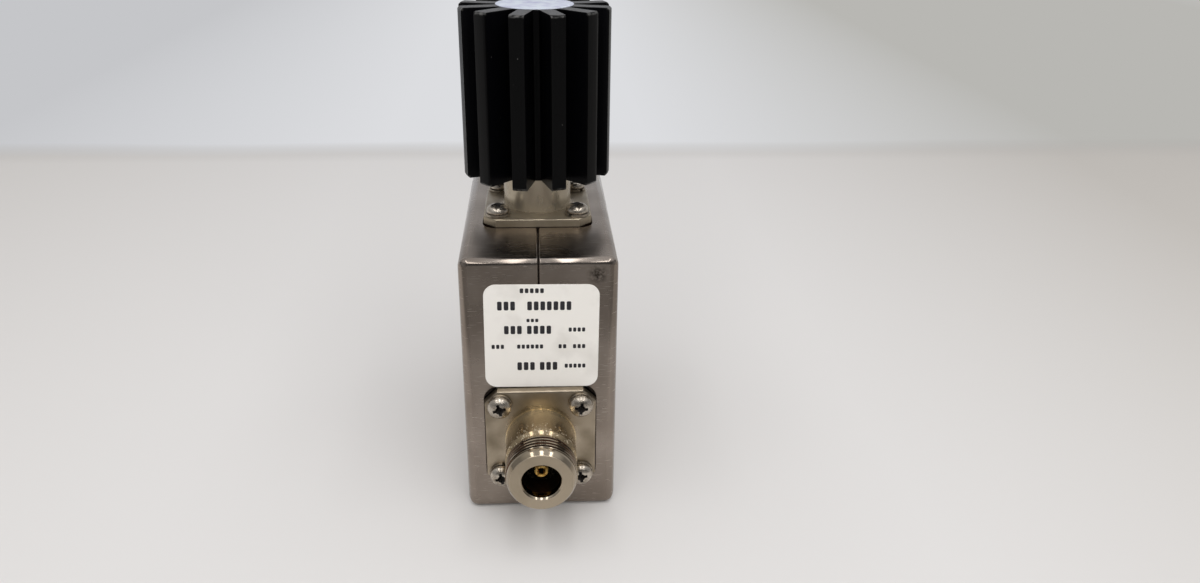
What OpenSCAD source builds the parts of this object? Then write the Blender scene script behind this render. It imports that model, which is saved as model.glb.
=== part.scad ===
// Coaxial isolator: a three-port junction in a drawn shield, with two threaded jacks and a finned load.
// Millimetres. X runs through the thickness, Y from the input jack to the output jack, Z is up.
// The origin is the middle of the bottom face.

/* [Body] */
// Thickness of the body over both shield halves
body_w = 34.5; // [33:0.5:44]
// Depth of the body between its two jack faces
body_d = 63.5; // [60:0.5:80]
// Height of the body
body_h = 63.5; // [60:0.5:80]
// Thickness of the shield sheet
sheet_t = 1.2; // [0.8:0.1:1.6]
// Outside radius of the bends round the broad sides
bend_r = 2.2; // [1.8:0.1:4]
// Outside radius of the corners of the rim
rim_r = 1.5; // [1.2:0.1:3]
// Gap between the two shield halves at the seam
seam_gap = 0.25; // [0.1:0.05:0.6]
// Clearance between a piece and the hollow that holds it
slip = 0.03; // [0.02:0.01:0.05]
// Clearance between the shield and the housing inside it
shield_fit = 0.05; // [0.03:0.01:0.2]

/* [Flanges] */
// Spacing of the flange screws
screw_pitch = 18.26; // [17:0.01:19.3]
// Distance of the flange screws from the edges of the square flanges
flange_margin = 3.37; // [3:0.01:4]
// Height that a flange stands proud of the shield
flange_proud = 2; // [1:0.1:4]
// Leg of the chamfer at each corner of a flange
flange_chamfer = 2.9; // [1:0.1:4]
// Gap between a flange and the cut-out in the shield
cutout_gap = 0.25; // [0.1:0.05:0.6]
// Radius of the corners of the cut-outs
cutout_r = 3.3; // [1:0.1:5]
// Radius of the screw holes through a flange
flange_hole_r = 1.6; // [1.5:0.05:1.9]

/* [Jacks] */
// Height of the jack axes above the bottom face
jack_z = 20; // [17:0.5:26]
// Reach of a jack in front of its flange
jack_reach = 17; // [16:0.5:24]
// Radius of the plain barrel
barrel_r = 7.9; // [7.7:0.05:8]
// Length of the plain barrel
barrel_len = 8.9; // [7:0.1:9.5]
// Radius of the relief groove behind the thread
relief_r = 7.3; // [6.8:0.1:7.5]
// Length of the relief groove with its chamfer
relief_len = 2.1; // [1.5:0.1:2.3]
// Radius over the thread
thread_r = 7.8; // [7.6:0.05:7.94]
// Radius of the nose ahead of the thread
nose_r = 7.55; // [7.4:0.05:7.6]
// Radius of the flat at the front of the nose
nose_face_r = 6.8; // [6:0.1:7.2]
// Length of the nose ahead of the thread
nose_len = 1.9; // [1.5:0.1:2.2]
// Length of the cylinder of the nose, behind its bevel
nose_land = 0.8; // [0.4:0.1:1.2]
// Radius of the socket in a jack
socket_r = 4.06; // [3.9:0.01:4.2]
// Depth of the socket
socket_depth = 9; // [8:0.1:10]
// Radius of the socket at its mouth
mouth_r = 4.65; // [4.3:0.05:5]
// Depth of the bevel at the mouth
mouth_depth = 0.6; // [0.3:0.1:1]

/* [Contacts] */
// Radius of the contacts
contact_r = 1.52; // [1.4:0.01:1.6]
// Depth of a contact's tip behind the nose of its jack
contact_setback = 4; // [3:0.1:5.5]
// Radius of the hole in a contact
contact_hole_r = 0.83; // [0.7:0.01:0.9]
// Depth of the hole in a contact
contact_hole_depth = 6; // [4:0.5:8]
// Width of the slots that split a contact into four springs
contact_slot = 0.26; // [0.15:0.01:0.35]
// Reach of a contact's tail into the housing
tail_len = 8.5; // [7:0.5:10]
// Depth of the slot in the tail that takes the strip
tail_slot = 3; // [2:0.5:4]
// Radius of the insulating beads
bead_r = 4.2; // [3.8:0.1:4.6]
// Length of the bead in a jack
bead_len = 6.5; // [4:0.5:9]
// Radius of the air line between bead and socket
line_r = 3.5; // [3.4:0.05:3.7]

/* [Load] */
// Radius of the neck below the heat sink
neck_r = 7.94; // [7.5:0.02:8.4]
// Length of the neck between flange and heat sink
neck_len = 8; // [6:0.5:12]
// Radius of the spigot inside the heat sink
spigot_r = 5; // [4.6:0.1:6]
// Length of the spigot
spigot_len = 22; // [16:0.5:30]
// Thickness of the end wall of the spigot
spigot_end = 1; // [0.8:0.1:2]
// Depth of the seat that holds the far end of the resistor
resistor_seat = 2; // [1:0.5:4]
// Radius of the rod resistor
resistor_r = 2.2; // [1.8:0.1:2.6]
// Length of the insulating bead of the load
load_bead_len = 8; // [6:0.5:9]
// Reach of the load's contact past its bead
load_contact_reach = 2; // [1:0.5:4]

/* [Heat sink] */
// Number of fins
fin_count = 12; // [8:1:14]
// Radius over the fins
sink_r = 17.1; // [15:0.1:22]
// Height of the heat sink
sink_h = 38; // [30:0.5:60]
// Radius of the core between the fins
core_r = 8.8; // [8:0.1:10]
// Thickness of a fin
fin_t = 3.25; // [2:0.05:3.6]
// Chamfer on the ends of the fins
fin_chamfer = 0.7; // [0.3:0.1:1.5]
// Angle at which the heat sink came to rest when it was screwed down
sink_turn = 1.7; // [-15:0.1:15]

/* [Junction] */
// Thickness of the centre strip
strip_t = 1; // [0.6:0.1:1.4]
// Radius of the disc of the strip
disc_r = 12; // [9:0.5:13]
// Width of the arms of the strip
arm_w = 4; // [2.5:0.1:5]
// Thickness of a ferrite disc
ferrite_t = 4; // [3:0.1:4.2]
// Radius of a ferrite disc
ferrite_r = 14; // [11:0.5:16]
// Thickness of a pole piece
pole_t = 1.5; // [1:0.1:2]
// Thickness of a temperature compensating disc
shunt_t = 1; // [0.5:0.1:1.5]
// Radius of the magnets
magnet_r = 17; // [14:0.5:20]
// Radius of the cavity round the strip
cavity_r = 22.5; // [20:0.5:23]
// Width of the ledge that carries a pole piece
ledge = 1.5; // [1:0.1:2]
// Radius of the port bores between cavity and flanges
port_r = 3.4; // [3.2:0.1:3.45]
// Radius of the housing's long corners
housing_corner_r = 1.5; // [1.2:0.1:4]

/* [Covers] */
// Thickness of a cover plate
cover_t = 3; // [2:0.1:4]
// Margin between the inner bend of the shield and a cover plate
cover_margin = 0.5; // [0.2:0.1:1.5]
// Distance of the side screws from the rim of the housing
side_screw_inset = 4.5; // [4:0.1:5]
// Head radius of the side screws
side_head_r = 2.7; // [2.4:0.1:3]
// Length of the side screws
side_screw_len = 10; // [8:0.5:11]

/* [Fasteners] */
// Radius of the screw shanks
shank_r = 1.4; // [1.3:0.01:1.45]
// Radius of the pan heads
head_r = 2.65; // [2.4:0.05:2.9]
// Height of the pan heads
head_h = 1.9; // [1.5:0.1:2.3]
// Depth of the screws in the housing
screw_depth = 4.5; // [3.5:0.5:5]
// Outside radius of the lock washers
washer_r = 2.6; // [2.4:0.05:2.9]
// Thickness of the lock washers
washer_t = 0.7; // [0.5:0.1:1]
// Gap where a lock washer is split
washer_split = 0.6; // [0.3:0.1:1]
// Width of the cross recess across its wings
recess_w = 2.8; // [2:0.1:3.4]

/* [Mounting holes] */
// Distance of the tapped holes in the right side from the edges of the body
mount_inset = 11.1; // [10.5:0.1:12]
// Radius of the tapped holes
mount_r = 2; // [1.5:0.1:2.4]
// Radius of the clearance holes in the shield over them
mount_clear_r = 2.3; // [2.2:0.1:3]
// Depth of the tapped holes below the cover's face
mount_depth = 8; // [5:0.5:9]

/* [Labels] */
// Width and height of the front label
label_w = 25.1; // [20:0.1:25.5]
// Radius of the corners of the front label
label_r = 2.7; // [1:0.1:4]
// Thickness of the labels
label_t = 0.15; // [0.1:0.05:0.3]
// Shift of the front label to the right of the seam
label_shift = 0.5; // [-2:0.1:2]
// Lean of the front label
label_turn = 0.55; // [-2:0.05:2]
// Gap between the front label and the flange below it
label_gap = 0.15; // [0.15:0.05:2]
// Radius of the round label on the heat sink
disc_label_r = 8.7; // [6:0.1:9]

/* [Hidden] */
$fn = 64;

// Reach of a cut past the face it leaves
over = 1;
// The two sides of a middle plane
SIDES = [-1, 1];

// Inside radii of the shield's bends
inner_bend_r = max(bend_r - sheet_t, 0.1);
inner_rim_r = max(rim_r - sheet_t, 0.1);

// Housing, inside the shield
wall = sheet_t + shield_fit;
housing_d = body_d - 2 * wall;
housing_h = body_h - 2 * wall;
housing_w = body_w - 2 * (wall + cover_t);
centre_z = body_h / 2;
seat_z = body_h - wall;

// Flanges and jacks, measured outwards from the housing's face
flange_t = wall + flange_proud;
flange_w = screw_pitch + 2 * flange_margin;
screw_at = screw_pitch / 2;
nose_z = flange_t + jack_reach;
tip_z = nose_z - contact_setback;

// Load, measured upwards from the housing's top
sink_z = flange_t + neck_len;
spigot_z = sink_z + spigot_len;
seat_floor_z = spigot_z - spigot_end;
load_tip_z = load_bead_len + load_contact_reach;

// Stack of the junction, measured sideways from the middle plane
ferrite_x = strip_t / 2;
pole_x = ferrite_x + ferrite_t;
magnet_x = pole_x + pole_t;
shunt_x = housing_w / 2 - shunt_t;
magnet_t = shunt_x - magnet_x;
cover_x = housing_w / 2;
pocket_r = cavity_r + ledge;

// Strip
drop = centre_z - jack_z;
strip_end = housing_d / 2 - tail_len + tail_slot - slip;
strip_top = housing_h / 2 - tail_len + tail_slot - slip;
bend_at = min(drop / tan(30), housing_d / 2 - tail_len - 1);

// Screws
head_z = flange_t + washer_t;
side_cone = side_head_r - shank_r;
recess_t = recess_w / 4;

module outline(w, h, r) {
    difference() {
        square([w, h], center = true);
        for (i = SIDES, j = SIDES)
            translate([i * (w / 2 - r), j * (h / 2 - r)])
                difference() {
                    translate([i > 0 ? 0 : -r - over, j > 0 ? 0 : -r - over])
                        square(r + over);
                    circle(r);
                }
    }
}

module octagon(w, leg) {
    a = w / 2;
    b = a - leg;
    polygon([[a, -b], [a, b], [b, a], [-b, a], [-a, b], [-a, -b], [-b, -a], [b, -a]]);
}

// A block whose edges are rounded as seen along each axis
module rounded_block(w, d, h, side_r, corner_r) {
    intersection() {
        rotate([90, 0, 90])
            linear_extrude(w, center = true)
                outline(d, h, corner_r);
        rotate([90, 0, 0])
            linear_extrude(d, center = true)
                outline(w, h, side_r);
        linear_extrude(h, center = true)
            outline(w, d, side_r);
    }
}

// Places: the local +Z points out of the housing and z = 0 is the housing's face
module at_input() {
    translate([0, -housing_d / 2, jack_z])
        rotate([90, 0, 0])
            children();
}

module at_output() {
    rotate(180)
        at_input()
            children();
}

module at_load() {
    translate([0, 0, seat_z])
        children();
}

// Places on a broad side: the local +Z points outwards and z = 0 is the middle plane
module at_side(side) {
    translate([0, 0, centre_z])
        rotate([90, 0, side * 90])
            children();
}

module at_square(at) {
    for (i = SIDES, j = SIDES)
        translate([i * at, j * at])
            children();
}

module at_side_screws() {
    for (i = SIDES, j = SIDES)
        translate([i * (housing_d / 2 - side_screw_inset), j * (housing_h / 2 - side_screw_inset)])
            children();
}

module at_mounts() {
    for (i = SIDES, j = SIDES)
        translate([i * (body_d / 2 - mount_inset), j * (body_h / 2 - mount_inset)])
            children();
}

// Shield
module flange_cutout() {
    translate([0, 0, -over])
        linear_extrude(wall + 2 * over)
            outline(flange_w + 2 * cutout_gap, flange_w + 2 * cutout_gap, cutout_r);
}

module side_head_cone(grow) {
    translate([0, 0, body_w / 2 - side_cone])
        cylinder(h = side_cone, r1 = shank_r + grow, r2 = side_head_r + grow);
}

module side_screw_cuts(side) {
    at_side(side)
        at_side_screws() {
            side_head_cone(slip);
            translate([0, 0, housing_w / 2 - over])
                cylinder(h = body_w / 2, r = shank_r + slip);
        }
}

module shield_half(side) {
    difference() {
        translate([0, 0, centre_z])
            rounded_block(body_w, body_d, body_h, bend_r, rim_r);
        translate([0, 0, centre_z])
            rounded_block(body_w - 2 * sheet_t, body_d - 2 * sheet_t, body_h - 2 * sheet_t,
                inner_bend_r, inner_rim_r);
        translate([side > 0 ? -body_w : -seam_gap / 2, -body_d, -over])
            cube([body_w + seam_gap / 2, 2 * body_d, body_h + 2 * over]);
        at_input() flange_cutout();
        at_output() flange_cutout();
        at_load() flange_cutout();
        side_screw_cuts(side);
        if (side > 0)
            at_side(side)
                at_mounts()
                    cylinder(h = body_w, r = mount_clear_r);
    }
}

module shield_left() {
    color("#9a9082") shield_half(-1);
}

module shield_right() {
    color("#9a9082") shield_half(1);
}

// Housing and covers
module mount_holes() {
    at_side(1)
        at_mounts()
            translate([0, 0, cover_x + cover_t - mount_depth])
                cylinder(h = mount_depth + over, r = mount_r);
}

module port_cuts() {
    bore_len = housing_d / 2;
    translate([0, 0, -bore_len])
        cylinder(h = bore_len + over, r = port_r);
    at_square(screw_at)
        translate([0, 0, -screw_depth - over])
            cylinder(h = screw_depth + 2 * over, r = shank_r + slip);
}

module housing() {
    color("#c3c4c6")
        difference() {
            translate([0, 0, centre_z])
                rotate([90, 0, 90])
                    linear_extrude(housing_w, center = true)
                        outline(housing_d, housing_h, housing_corner_r);
            at_side(1)
                cylinder(h = body_w, r = cavity_r, center = true);
            for (side = SIDES)
                at_side(side) {
                    translate([0, 0, pole_x])
                        cylinder(h = body_w, r = pocket_r);
                    at_side_screws()
                        translate([0, 0, body_w / 2 - side_screw_len - over])
                            cylinder(h = body_w, r = shank_r + slip);
                }
            at_input() port_cuts();
            at_output() port_cuts();
            at_load() port_cuts();
            mount_holes();
        }
}

module cover(side) {
    inset = inner_bend_r + cover_margin;
    difference() {
        at_side(side)
            translate([0, 0, cover_x])
                linear_extrude(cover_t)
                    outline(housing_d - 2 * inset, housing_h - 2 * inset, housing_corner_r);
        side_screw_cuts(side);
        if (side > 0) mount_holes();
    }
}

module cover_left() {
    color("#8c8f93") cover(-1);
}

module cover_right() {
    color("#8c8f93") cover(1);
}

// Junction, one layer at a time from the middle plane outwards
module layer(side, x, t, r) {
    at_side(side)
        translate([0, 0, x])
            cylinder(h = t, r = r);
}

module ferrite_left() {
    color("#3a3637") layer(-1, ferrite_x, ferrite_t, ferrite_r);
}

module ferrite_right() {
    color("#3a3637") layer(1, ferrite_x, ferrite_t, ferrite_r);
}

module pole_piece_left() {
    color("#a7abb0") layer(-1, pole_x, pole_t, pocket_r - slip);
}

module pole_piece_right() {
    color("#a7abb0") layer(1, pole_x, pole_t, pocket_r - slip);
}

module magnet_left() {
    color("#2f2f31") layer(-1, magnet_x, magnet_t, magnet_r);
}

module magnet_right() {
    color("#2f2f31") layer(1, magnet_x, magnet_t, magnet_r);
}

module shunt_left() {
    color("#b4ad9c") layer(-1, shunt_x, shunt_t, magnet_r);
}

module shunt_right() {
    color("#b4ad9c") layer(1, shunt_x, shunt_t, magnet_r);
}

// Each lower arm leaves the disc towards the height of its jack and then turns level
module strip_arm(side) {
    run = norm([bend_at, drop]);
    rotate(side > 0 ? -atan2(drop, bend_at) : 180 + atan2(drop, bend_at))
        translate([0, -arm_w / 2])
            square([run, arm_w]);
    translate([side * bend_at, -drop])
        circle(arm_w / 2);
    translate([side > 0 ? bend_at : -strip_end, -drop - arm_w / 2])
        square([strip_end - bend_at, arm_w]);
}

module centre_conductor() {
    color("#d9b65c")
        at_side(1)
            translate([0, 0, -strip_t / 2])
                linear_extrude(strip_t) {
                    circle(disc_r);
                    translate([-arm_w / 2, 0])
                        square([arm_w, strip_top]);
                    strip_arm(-1);
                    strip_arm(1);
                }
}

// Flange with its four screw holes, seated on the housing
module flange() {
    difference() {
        linear_extrude(flange_t) octagon(flange_w, flange_chamfer);
        at_square(screw_at)
            translate([0, 0, -over])
                cylinder(h = flange_t + 2 * over, r = flange_hole_r);
    }
}

// Jack
module jack_body() {
    groove_z = flange_t + barrel_len;
    thread_z = groove_z + relief_len;
    land_z = nose_z - nose_len;
    step = barrel_r - relief_r;
    difference() {
        union() {
            flange();
            rotate_extrude()
                polygon([
                    [0, flange_t / 2], [barrel_r, flange_t / 2], [barrel_r, groove_z],
                    [relief_r, groove_z + step], [relief_r, thread_z - (thread_r - relief_r)],
                    [thread_r, thread_z], [thread_r, land_z], [nose_r, land_z],
                    [nose_r, land_z + nose_land], [nose_face_r, nose_z], [0, nose_z]
                ]);
        }
        translate([0, 0, -over])
            cylinder(h = bead_len + over, r = bead_r);
        cylinder(h = nose_z, r = line_r);
        translate([0, 0, nose_z - socket_depth])
            cylinder(h = socket_depth + over, r = socket_r);
        translate([0, 0, nose_z - mouth_depth])
            cylinder(h = mouth_depth, r1 = socket_r, r2 = mouth_r);
    }
}

module bead(len) {
    difference() {
        cylinder(h = len, r = bead_r - slip);
        translate([0, 0, -over])
            cylinder(h = len + 2 * over, r = contact_r + slip);
    }
}

// Slot in the tail of a contact, which takes the strip edgewise
module tail_cut() {
    translate([-strip_t / 2 - slip, -contact_r - over, -tail_len - over])
        cube([strip_t + 2 * slip, 2 * (contact_r + over), tail_slot + over]);
}

module jack_contact() {
    spring_z = tip_z - contact_hole_depth;
    difference() {
        translate([0, 0, -tail_len])
            cylinder(h = tail_len + tip_z, r = contact_r);
        translate([0, 0, spring_z])
            cylinder(h = contact_hole_depth + over, r = contact_hole_r);
        for (a = [45, 135])
            rotate(a)
                translate([-contact_r - over, -contact_slot / 2, spring_z + over])
                    cube([2 * (contact_r + over), contact_slot, contact_hole_depth]);
        tail_cut();
    }
}

module input_jack_body() {
    color("#b3aa98") at_input() jack_body();
}

module input_jack_insulator() {
    color("#f1efe8") at_input() bead(bead_len);
}

module input_jack_contact() {
    color("#d9a83e") at_input() jack_contact();
}

module output_jack_body() {
    color("#b3aa98") at_output() jack_body();
}

module output_jack_insulator() {
    color("#f1efe8") at_output() bead(bead_len);
}

module output_jack_contact() {
    color("#d9a83e") at_output() jack_contact();
}

// Load
module load_body() {
    color("#b3aa98")
        at_load()
            difference() {
                union() {
                    flange();
                    translate([0, 0, flange_t / 2])
                        cylinder(h = sink_z - flange_t / 2, r = neck_r);
                    translate([0, 0, flange_t / 2])
                        cylinder(h = spigot_z - flange_t / 2, r = spigot_r);
                }
                translate([0, 0, -over])
                    cylinder(h = load_bead_len + over, r = bead_r);
                cylinder(h = seat_floor_z - resistor_seat, r = line_r);
                translate([0, 0, -over])
                    cylinder(h = seat_floor_z + over, r = resistor_r + slip);
            }
}

module load_insulator() {
    color("#f1efe8") at_load() bead(load_bead_len);
}

module load_contact() {
    color("#d9a83e")
        at_load()
            difference() {
                translate([0, 0, -tail_len])
                    cylinder(h = tail_len + load_tip_z, r = contact_r);
                tail_cut();
            }
}

module load_resistor() {
    color("#dcd8cf")
        at_load()
            translate([0, 0, load_tip_z])
                cylinder(h = seat_floor_z - load_tip_z, r = resistor_r);
}

// Heat sink: a round bar with radial slots, so that the fins keep one thickness
module fins() {
    circle(core_r);
    for (i = [0 : fin_count - 1])
        rotate((i + 0.5) * 360 / fin_count + sink_turn)
            translate([0, -fin_t / 2])
                square([sink_r + over, fin_t]);
}

module heat_sink() {
    color("#1c1c1d")
        at_load()
            translate([0, 0, sink_z])
                difference() {
                    intersection() {
                        linear_extrude(sink_h) fins();
                        rotate_extrude()
                            polygon([
                                [0, 0], [sink_r - fin_chamfer, 0], [sink_r, fin_chamfer],
                                [sink_r, sink_h - fin_chamfer], [sink_r - fin_chamfer, sink_h], [0, sink_h]
                            ]);
                    }
                    translate([0, 0, -over])
                        cylinder(h = spigot_len + 2 * over, r = spigot_r + slip);
                }
}

// Screws and washers
module cross_recess(depth) {
    for (a = [0, 90])
        rotate(a)
            translate([-recess_w / 2, -recess_t / 2, -depth])
                cube([recess_w, recess_t, depth + over]);
}

module pan_screw() {
    difference() {
        union() {
            translate([0, 0, -screw_depth])
                cylinder(h = screw_depth + head_z + head_h / 2, r = shank_r);
            translate([0, 0, head_z])
                rotate_extrude()
                    intersection() {
                        square([head_r, head_h]);
                        translate([0, head_h - 2 * head_r])
                            circle(2 * head_r);
                    }
        }
        translate([0, 0, head_z + head_h])
            rotate(45)
                cross_recess(head_h * 0.6);
    }
}

module lock_washer() {
    translate([0, 0, flange_t])
        difference() {
            cylinder(h = washer_t, r = washer_r);
            translate([0, 0, -over])
                cylinder(h = washer_t + 2 * over, r = shank_r + slip);
            translate([0, -washer_split / 2, -over])
                cube([washer_r + over, washer_split, washer_t + 2 * over]);
        }
}

module flange_screws() {
    color("#b9b2a4") {
        at_input() at_square(screw_at) pan_screw();
        at_output() at_square(screw_at) pan_screw();
        at_load() at_square(screw_at) pan_screw();
    }
}

module lock_washers() {
    color("#a39c8f") {
        at_input() at_square(screw_at) lock_washer();
        at_output() at_square(screw_at) lock_washer();
        at_load() at_square(screw_at) lock_washer();
    }
}

module side_screw() {
    difference() {
        union() {
            side_head_cone(0);
            translate([0, 0, body_w / 2 - side_screw_len])
                cylinder(h = side_screw_len - side_cone / 2, r = shank_r);
        }
        translate([0, 0, body_w / 2])
            rotate(45)
                cross_recess(side_cone);
    }
}

module side_screws() {
    color("#b9b2a4")
        for (side = SIDES)
            at_side(side)
                at_side_screws()
                    side_screw();
}

// Labels
module front_label() {
    label_z = jack_z + flange_w / 2 + label_gap + label_w / 2;
    color("#dddad4")
        translate([label_shift, -body_d / 2, label_z])
            rotate([90, 0, 0])
                rotate(-label_turn)
                    linear_extrude(label_t)
                        outline(label_w, label_w, label_r);
}

module load_label() {
    color("#c9cfd6")
        at_load()
            translate([0, 0, sink_z + sink_h])
                cylinder(h = label_t, r = disc_label_r);
}

shield_left();
shield_right();
housing();
cover_left();
cover_right();
side_screws();
magnet_left();
magnet_right();
shunt_left();
shunt_right();
pole_piece_left();
pole_piece_right();
ferrite_left();
ferrite_right();
centre_conductor();
input_jack_body();
input_jack_insulator();
input_jack_contact();
output_jack_body();
output_jack_insulator();
output_jack_contact();
load_body();
load_insulator();
load_contact();
load_resistor();
heat_sink();
flange_screws();
lock_washers();
front_label();
load_label();
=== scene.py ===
"""Looks of a coaxial isolator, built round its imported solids.

Sizes are millimetres. A piece is modelled in millimetres, and turned to metres when it is set in the row
frame: X through the thickness, Y from the input jack to the output jack, Z up from the base.
"""

import logging
import math
from contextlib import contextmanager
from dataclasses import dataclass
from enum import Enum
from typing import Callable, Iterator, Mapping, Sequence

import bmesh
import bpy
from mathutils import Matrix, Vector

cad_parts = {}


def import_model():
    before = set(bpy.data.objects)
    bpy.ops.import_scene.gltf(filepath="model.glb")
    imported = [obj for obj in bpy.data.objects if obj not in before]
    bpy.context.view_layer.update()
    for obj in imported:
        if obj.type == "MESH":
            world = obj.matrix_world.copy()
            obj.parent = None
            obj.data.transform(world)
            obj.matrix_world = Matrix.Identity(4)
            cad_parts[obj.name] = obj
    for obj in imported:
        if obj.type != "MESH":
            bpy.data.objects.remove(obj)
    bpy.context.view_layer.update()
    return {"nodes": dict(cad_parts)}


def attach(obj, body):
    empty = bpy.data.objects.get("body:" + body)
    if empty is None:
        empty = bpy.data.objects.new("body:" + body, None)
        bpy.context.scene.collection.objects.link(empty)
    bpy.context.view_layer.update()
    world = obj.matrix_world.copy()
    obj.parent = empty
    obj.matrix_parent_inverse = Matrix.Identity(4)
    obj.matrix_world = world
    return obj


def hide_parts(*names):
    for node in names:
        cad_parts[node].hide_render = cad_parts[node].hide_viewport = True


LOG = logging.getLogger("isolator")
Point = tuple[float, float]
Place = tuple[float, float, float]
Row = tuple[float, float, float, tuple[tuple[float, int], ...]]
Value = float | str | Sequence[float] | bpy.types.NodeSocket | None

MM = 0.001
# points closer than this are one point
MERGE = 0.002

# outside sizes of the body, and the faces of the housing that carry the flanges
WIDTH = 34.5
DEPTH = 63.5
HEIGHT = 63.5
HOUSING_FACE = 30.5
HOUSING_TOP = 62.25
JACK_HEIGHT = 20.0


class Side(Enum):
    """The two broad sides of the body."""

    LEFT = -1
    RIGHT = 1


class Boolean(Enum):
    """What a cutter does to a piece."""

    CUT = "DIFFERENCE"
    WELD = "UNION"


class Seat(Enum):
    """The three faces of the housing that carry a flange."""

    INPUT = "input"
    OUTPUT = "output"
    LOAD = "load"


# Modelling

def only(piece: bpy.types.Object) -> None:
    """Selects one object alone and makes it active.

    Args:
        piece: the object to select.
    """
    bpy.ops.object.select_all(action="DESELECT")
    piece.select_set(True)
    bpy.context.view_layer.objects.active = piece


@contextmanager
def editing(piece: bpy.types.Object, kind: str = "FACE") -> Iterator[None]:
    """Opens a piece in edit mode, picking faces, edges or vertices.

    Args:
        piece: the object to edit.
        kind: VERT, EDGE or FACE.

    Yields:
        Nothing, while the piece is open.
    """
    only(piece)
    bpy.ops.object.mode_set(mode="EDIT")
    bpy.ops.mesh.select_mode(type=kind)
    yield
    bpy.ops.object.mode_set(mode="OBJECT")


def pick(piece: bpy.types.Object, test: Callable[..., bool], kind: str = "FACE") -> None:
    """Selects the faces, edges or vertices that pass a test, in edit mode.

    Args:
        piece: the object that is open in edit mode.
        test: takes one face, edge or vertex of the open mesh.
        kind: VERT, EDGE or FACE.
    """
    mesh = bmesh.from_edit_mesh(piece.data)
    for part in (*mesh.verts, *mesh.edges, *mesh.faces):
        part.select = False
    parts = {"VERT": mesh.verts, "EDGE": mesh.edges, "FACE": mesh.faces}[kind]
    for part in [part for part in parts if test(part)]:
        part.select_set(True)
    mesh.select_flush_mode()
    bmesh.update_edit_mesh(piece.data)


def close_up() -> None:
    """Merges the points that meet in the open mesh, and turns its faces outwards."""
    bpy.ops.mesh.select_all(action="SELECT")
    bpy.ops.mesh.remove_doubles(threshold=MERGE)
    bpy.ops.mesh.normals_make_consistent(inside=False)


def placed_blank(name: str) -> bpy.types.Object:
    """Names the primitive just added and puts its place into its mesh.

    Args:
        name: the object's name.

    Returns:
        The blank, unturned and unscaled.
    """
    piece = bpy.context.object
    piece.name = name
    bpy.ops.object.transform_apply(location=True, rotation=True, scale=True)
    return piece


def block(name: str, low: Sequence[float], high: Sequence[float]) -> bpy.types.Object:
    """Adds a rectangular blank between two corners.

    Args:
        name: the object's name.
        low: lowest corner.
        high: highest corner.

    Returns:
        The blank.
    """
    centre = [(a + b) / 2 for a, b in zip(low, high)]
    size = [b - a for a, b in zip(low, high)]
    bpy.ops.object.select_all(action="DESELECT")
    bpy.ops.mesh.primitive_cube_add(size=1, location=centre, scale=size)
    return placed_blank(name)


def turned(name: str, profile: Sequence[Point], steps: int = 96) -> bpy.types.Object:
    """Turns a profile round the Z axis, ring by ring.

    Args:
        name: the object's name.
        profile: radius and height of each ring, in order.
        steps: sides of each ring.

    Returns:
        The turned piece, closed, with its faces outwards.
    """
    bpy.ops.object.select_all(action="DESELECT")
    radius, height = profile[0]
    bpy.ops.mesh.primitive_circle_add(
        vertices=steps, radius=radius, fill_type="NGON", location=(0, 0, height))
    piece = placed_blank(name)
    with editing(piece):
        bpy.ops.mesh.select_all(action="SELECT")
        for next_radius, next_height in profile[1:]:
            bpy.ops.mesh.extrude_region_move(
                TRANSFORM_OT_translate={"value": (0, 0, next_height - height)})
            grow = next_radius / radius
            bpy.ops.transform.resize(value=(grow, grow, 1), center_override=(0, 0, next_height))
            radius, height = next_radius, next_height
        close_up()
    return piece


def corners_cut(piece: bpy.types.Object, size: float, segments: int) -> bpy.types.Object:
    """Bevels the upright edges of a flat blank.

    Args:
        piece: the blank.
        size: width of the bevel.
        segments: 1 for a chamfer, more for a round corner.

    Returns:
        The same piece.
    """
    with editing(piece, "EDGE"):
        pick(piece, lambda e: (e.verts[0].co.xy - e.verts[1].co.xy).length < MERGE, "EDGE")
        bpy.ops.mesh.bevel(offset=size, segments=segments)
    return piece


def moved(piece: bpy.types.Object, place: Matrix) -> bpy.types.Object:
    """Moves a piece and keeps the place in its mesh.

    Args:
        piece: the object to move.
        place: the move, in the piece's own units.

    Returns:
        The same piece.
    """
    only(piece)
    piece.matrix_world = place
    bpy.ops.object.transform_apply(location=True, rotation=True, scale=True)
    return piece


def spun(angle: float) -> Matrix:
    """A turn round the local Z axis, in degrees."""
    return Matrix.Rotation(math.radians(angle), 4, "Z")


def copied(piece: bpy.types.Object, name: str, place: Matrix) -> bpy.types.Object:
    """Copies a piece with a mesh of its own.

    Args:
        piece: the object to copy.
        name: the copy's name.
        place: where the copy goes, as a move from the first.

    Returns:
        The copy.
    """
    copy = piece.copy()
    copy.data = piece.data.copy()
    copy.name = name
    bpy.context.scene.collection.objects.link(copy)
    return moved(copy, place)


def joined(pieces: Sequence[bpy.types.Object], name: str) -> bpy.types.Object:
    """Joins pieces into one object.

    Args:
        pieces: the objects to join.
        name: the name of the whole.

    Returns:
        The one object that is left.
    """
    bpy.ops.object.select_all(action="DESELECT")
    for piece in pieces:
        piece.select_set(True)
    bpy.context.view_layer.objects.active = pieces[0]
    bpy.ops.object.join()
    whole = bpy.context.object
    whole.name = name
    return whole


def worked(piece: bpy.types.Object, kind: str, **settings: object) -> bpy.types.Object:
    """Adds a modifier to a piece and applies it.

    Args:
        piece: the object to work on.
        kind: the modifier's type.
        settings: the modifier's own properties.

    Returns:
        The same piece.
    """
    only(piece)
    bpy.ops.object.modifier_add(type=kind)
    step = piece.modifiers[-1]
    for name, value in settings.items():
        setattr(step, name, value)
    bpy.ops.object.modifier_apply(modifier=step.name)
    return piece


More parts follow.
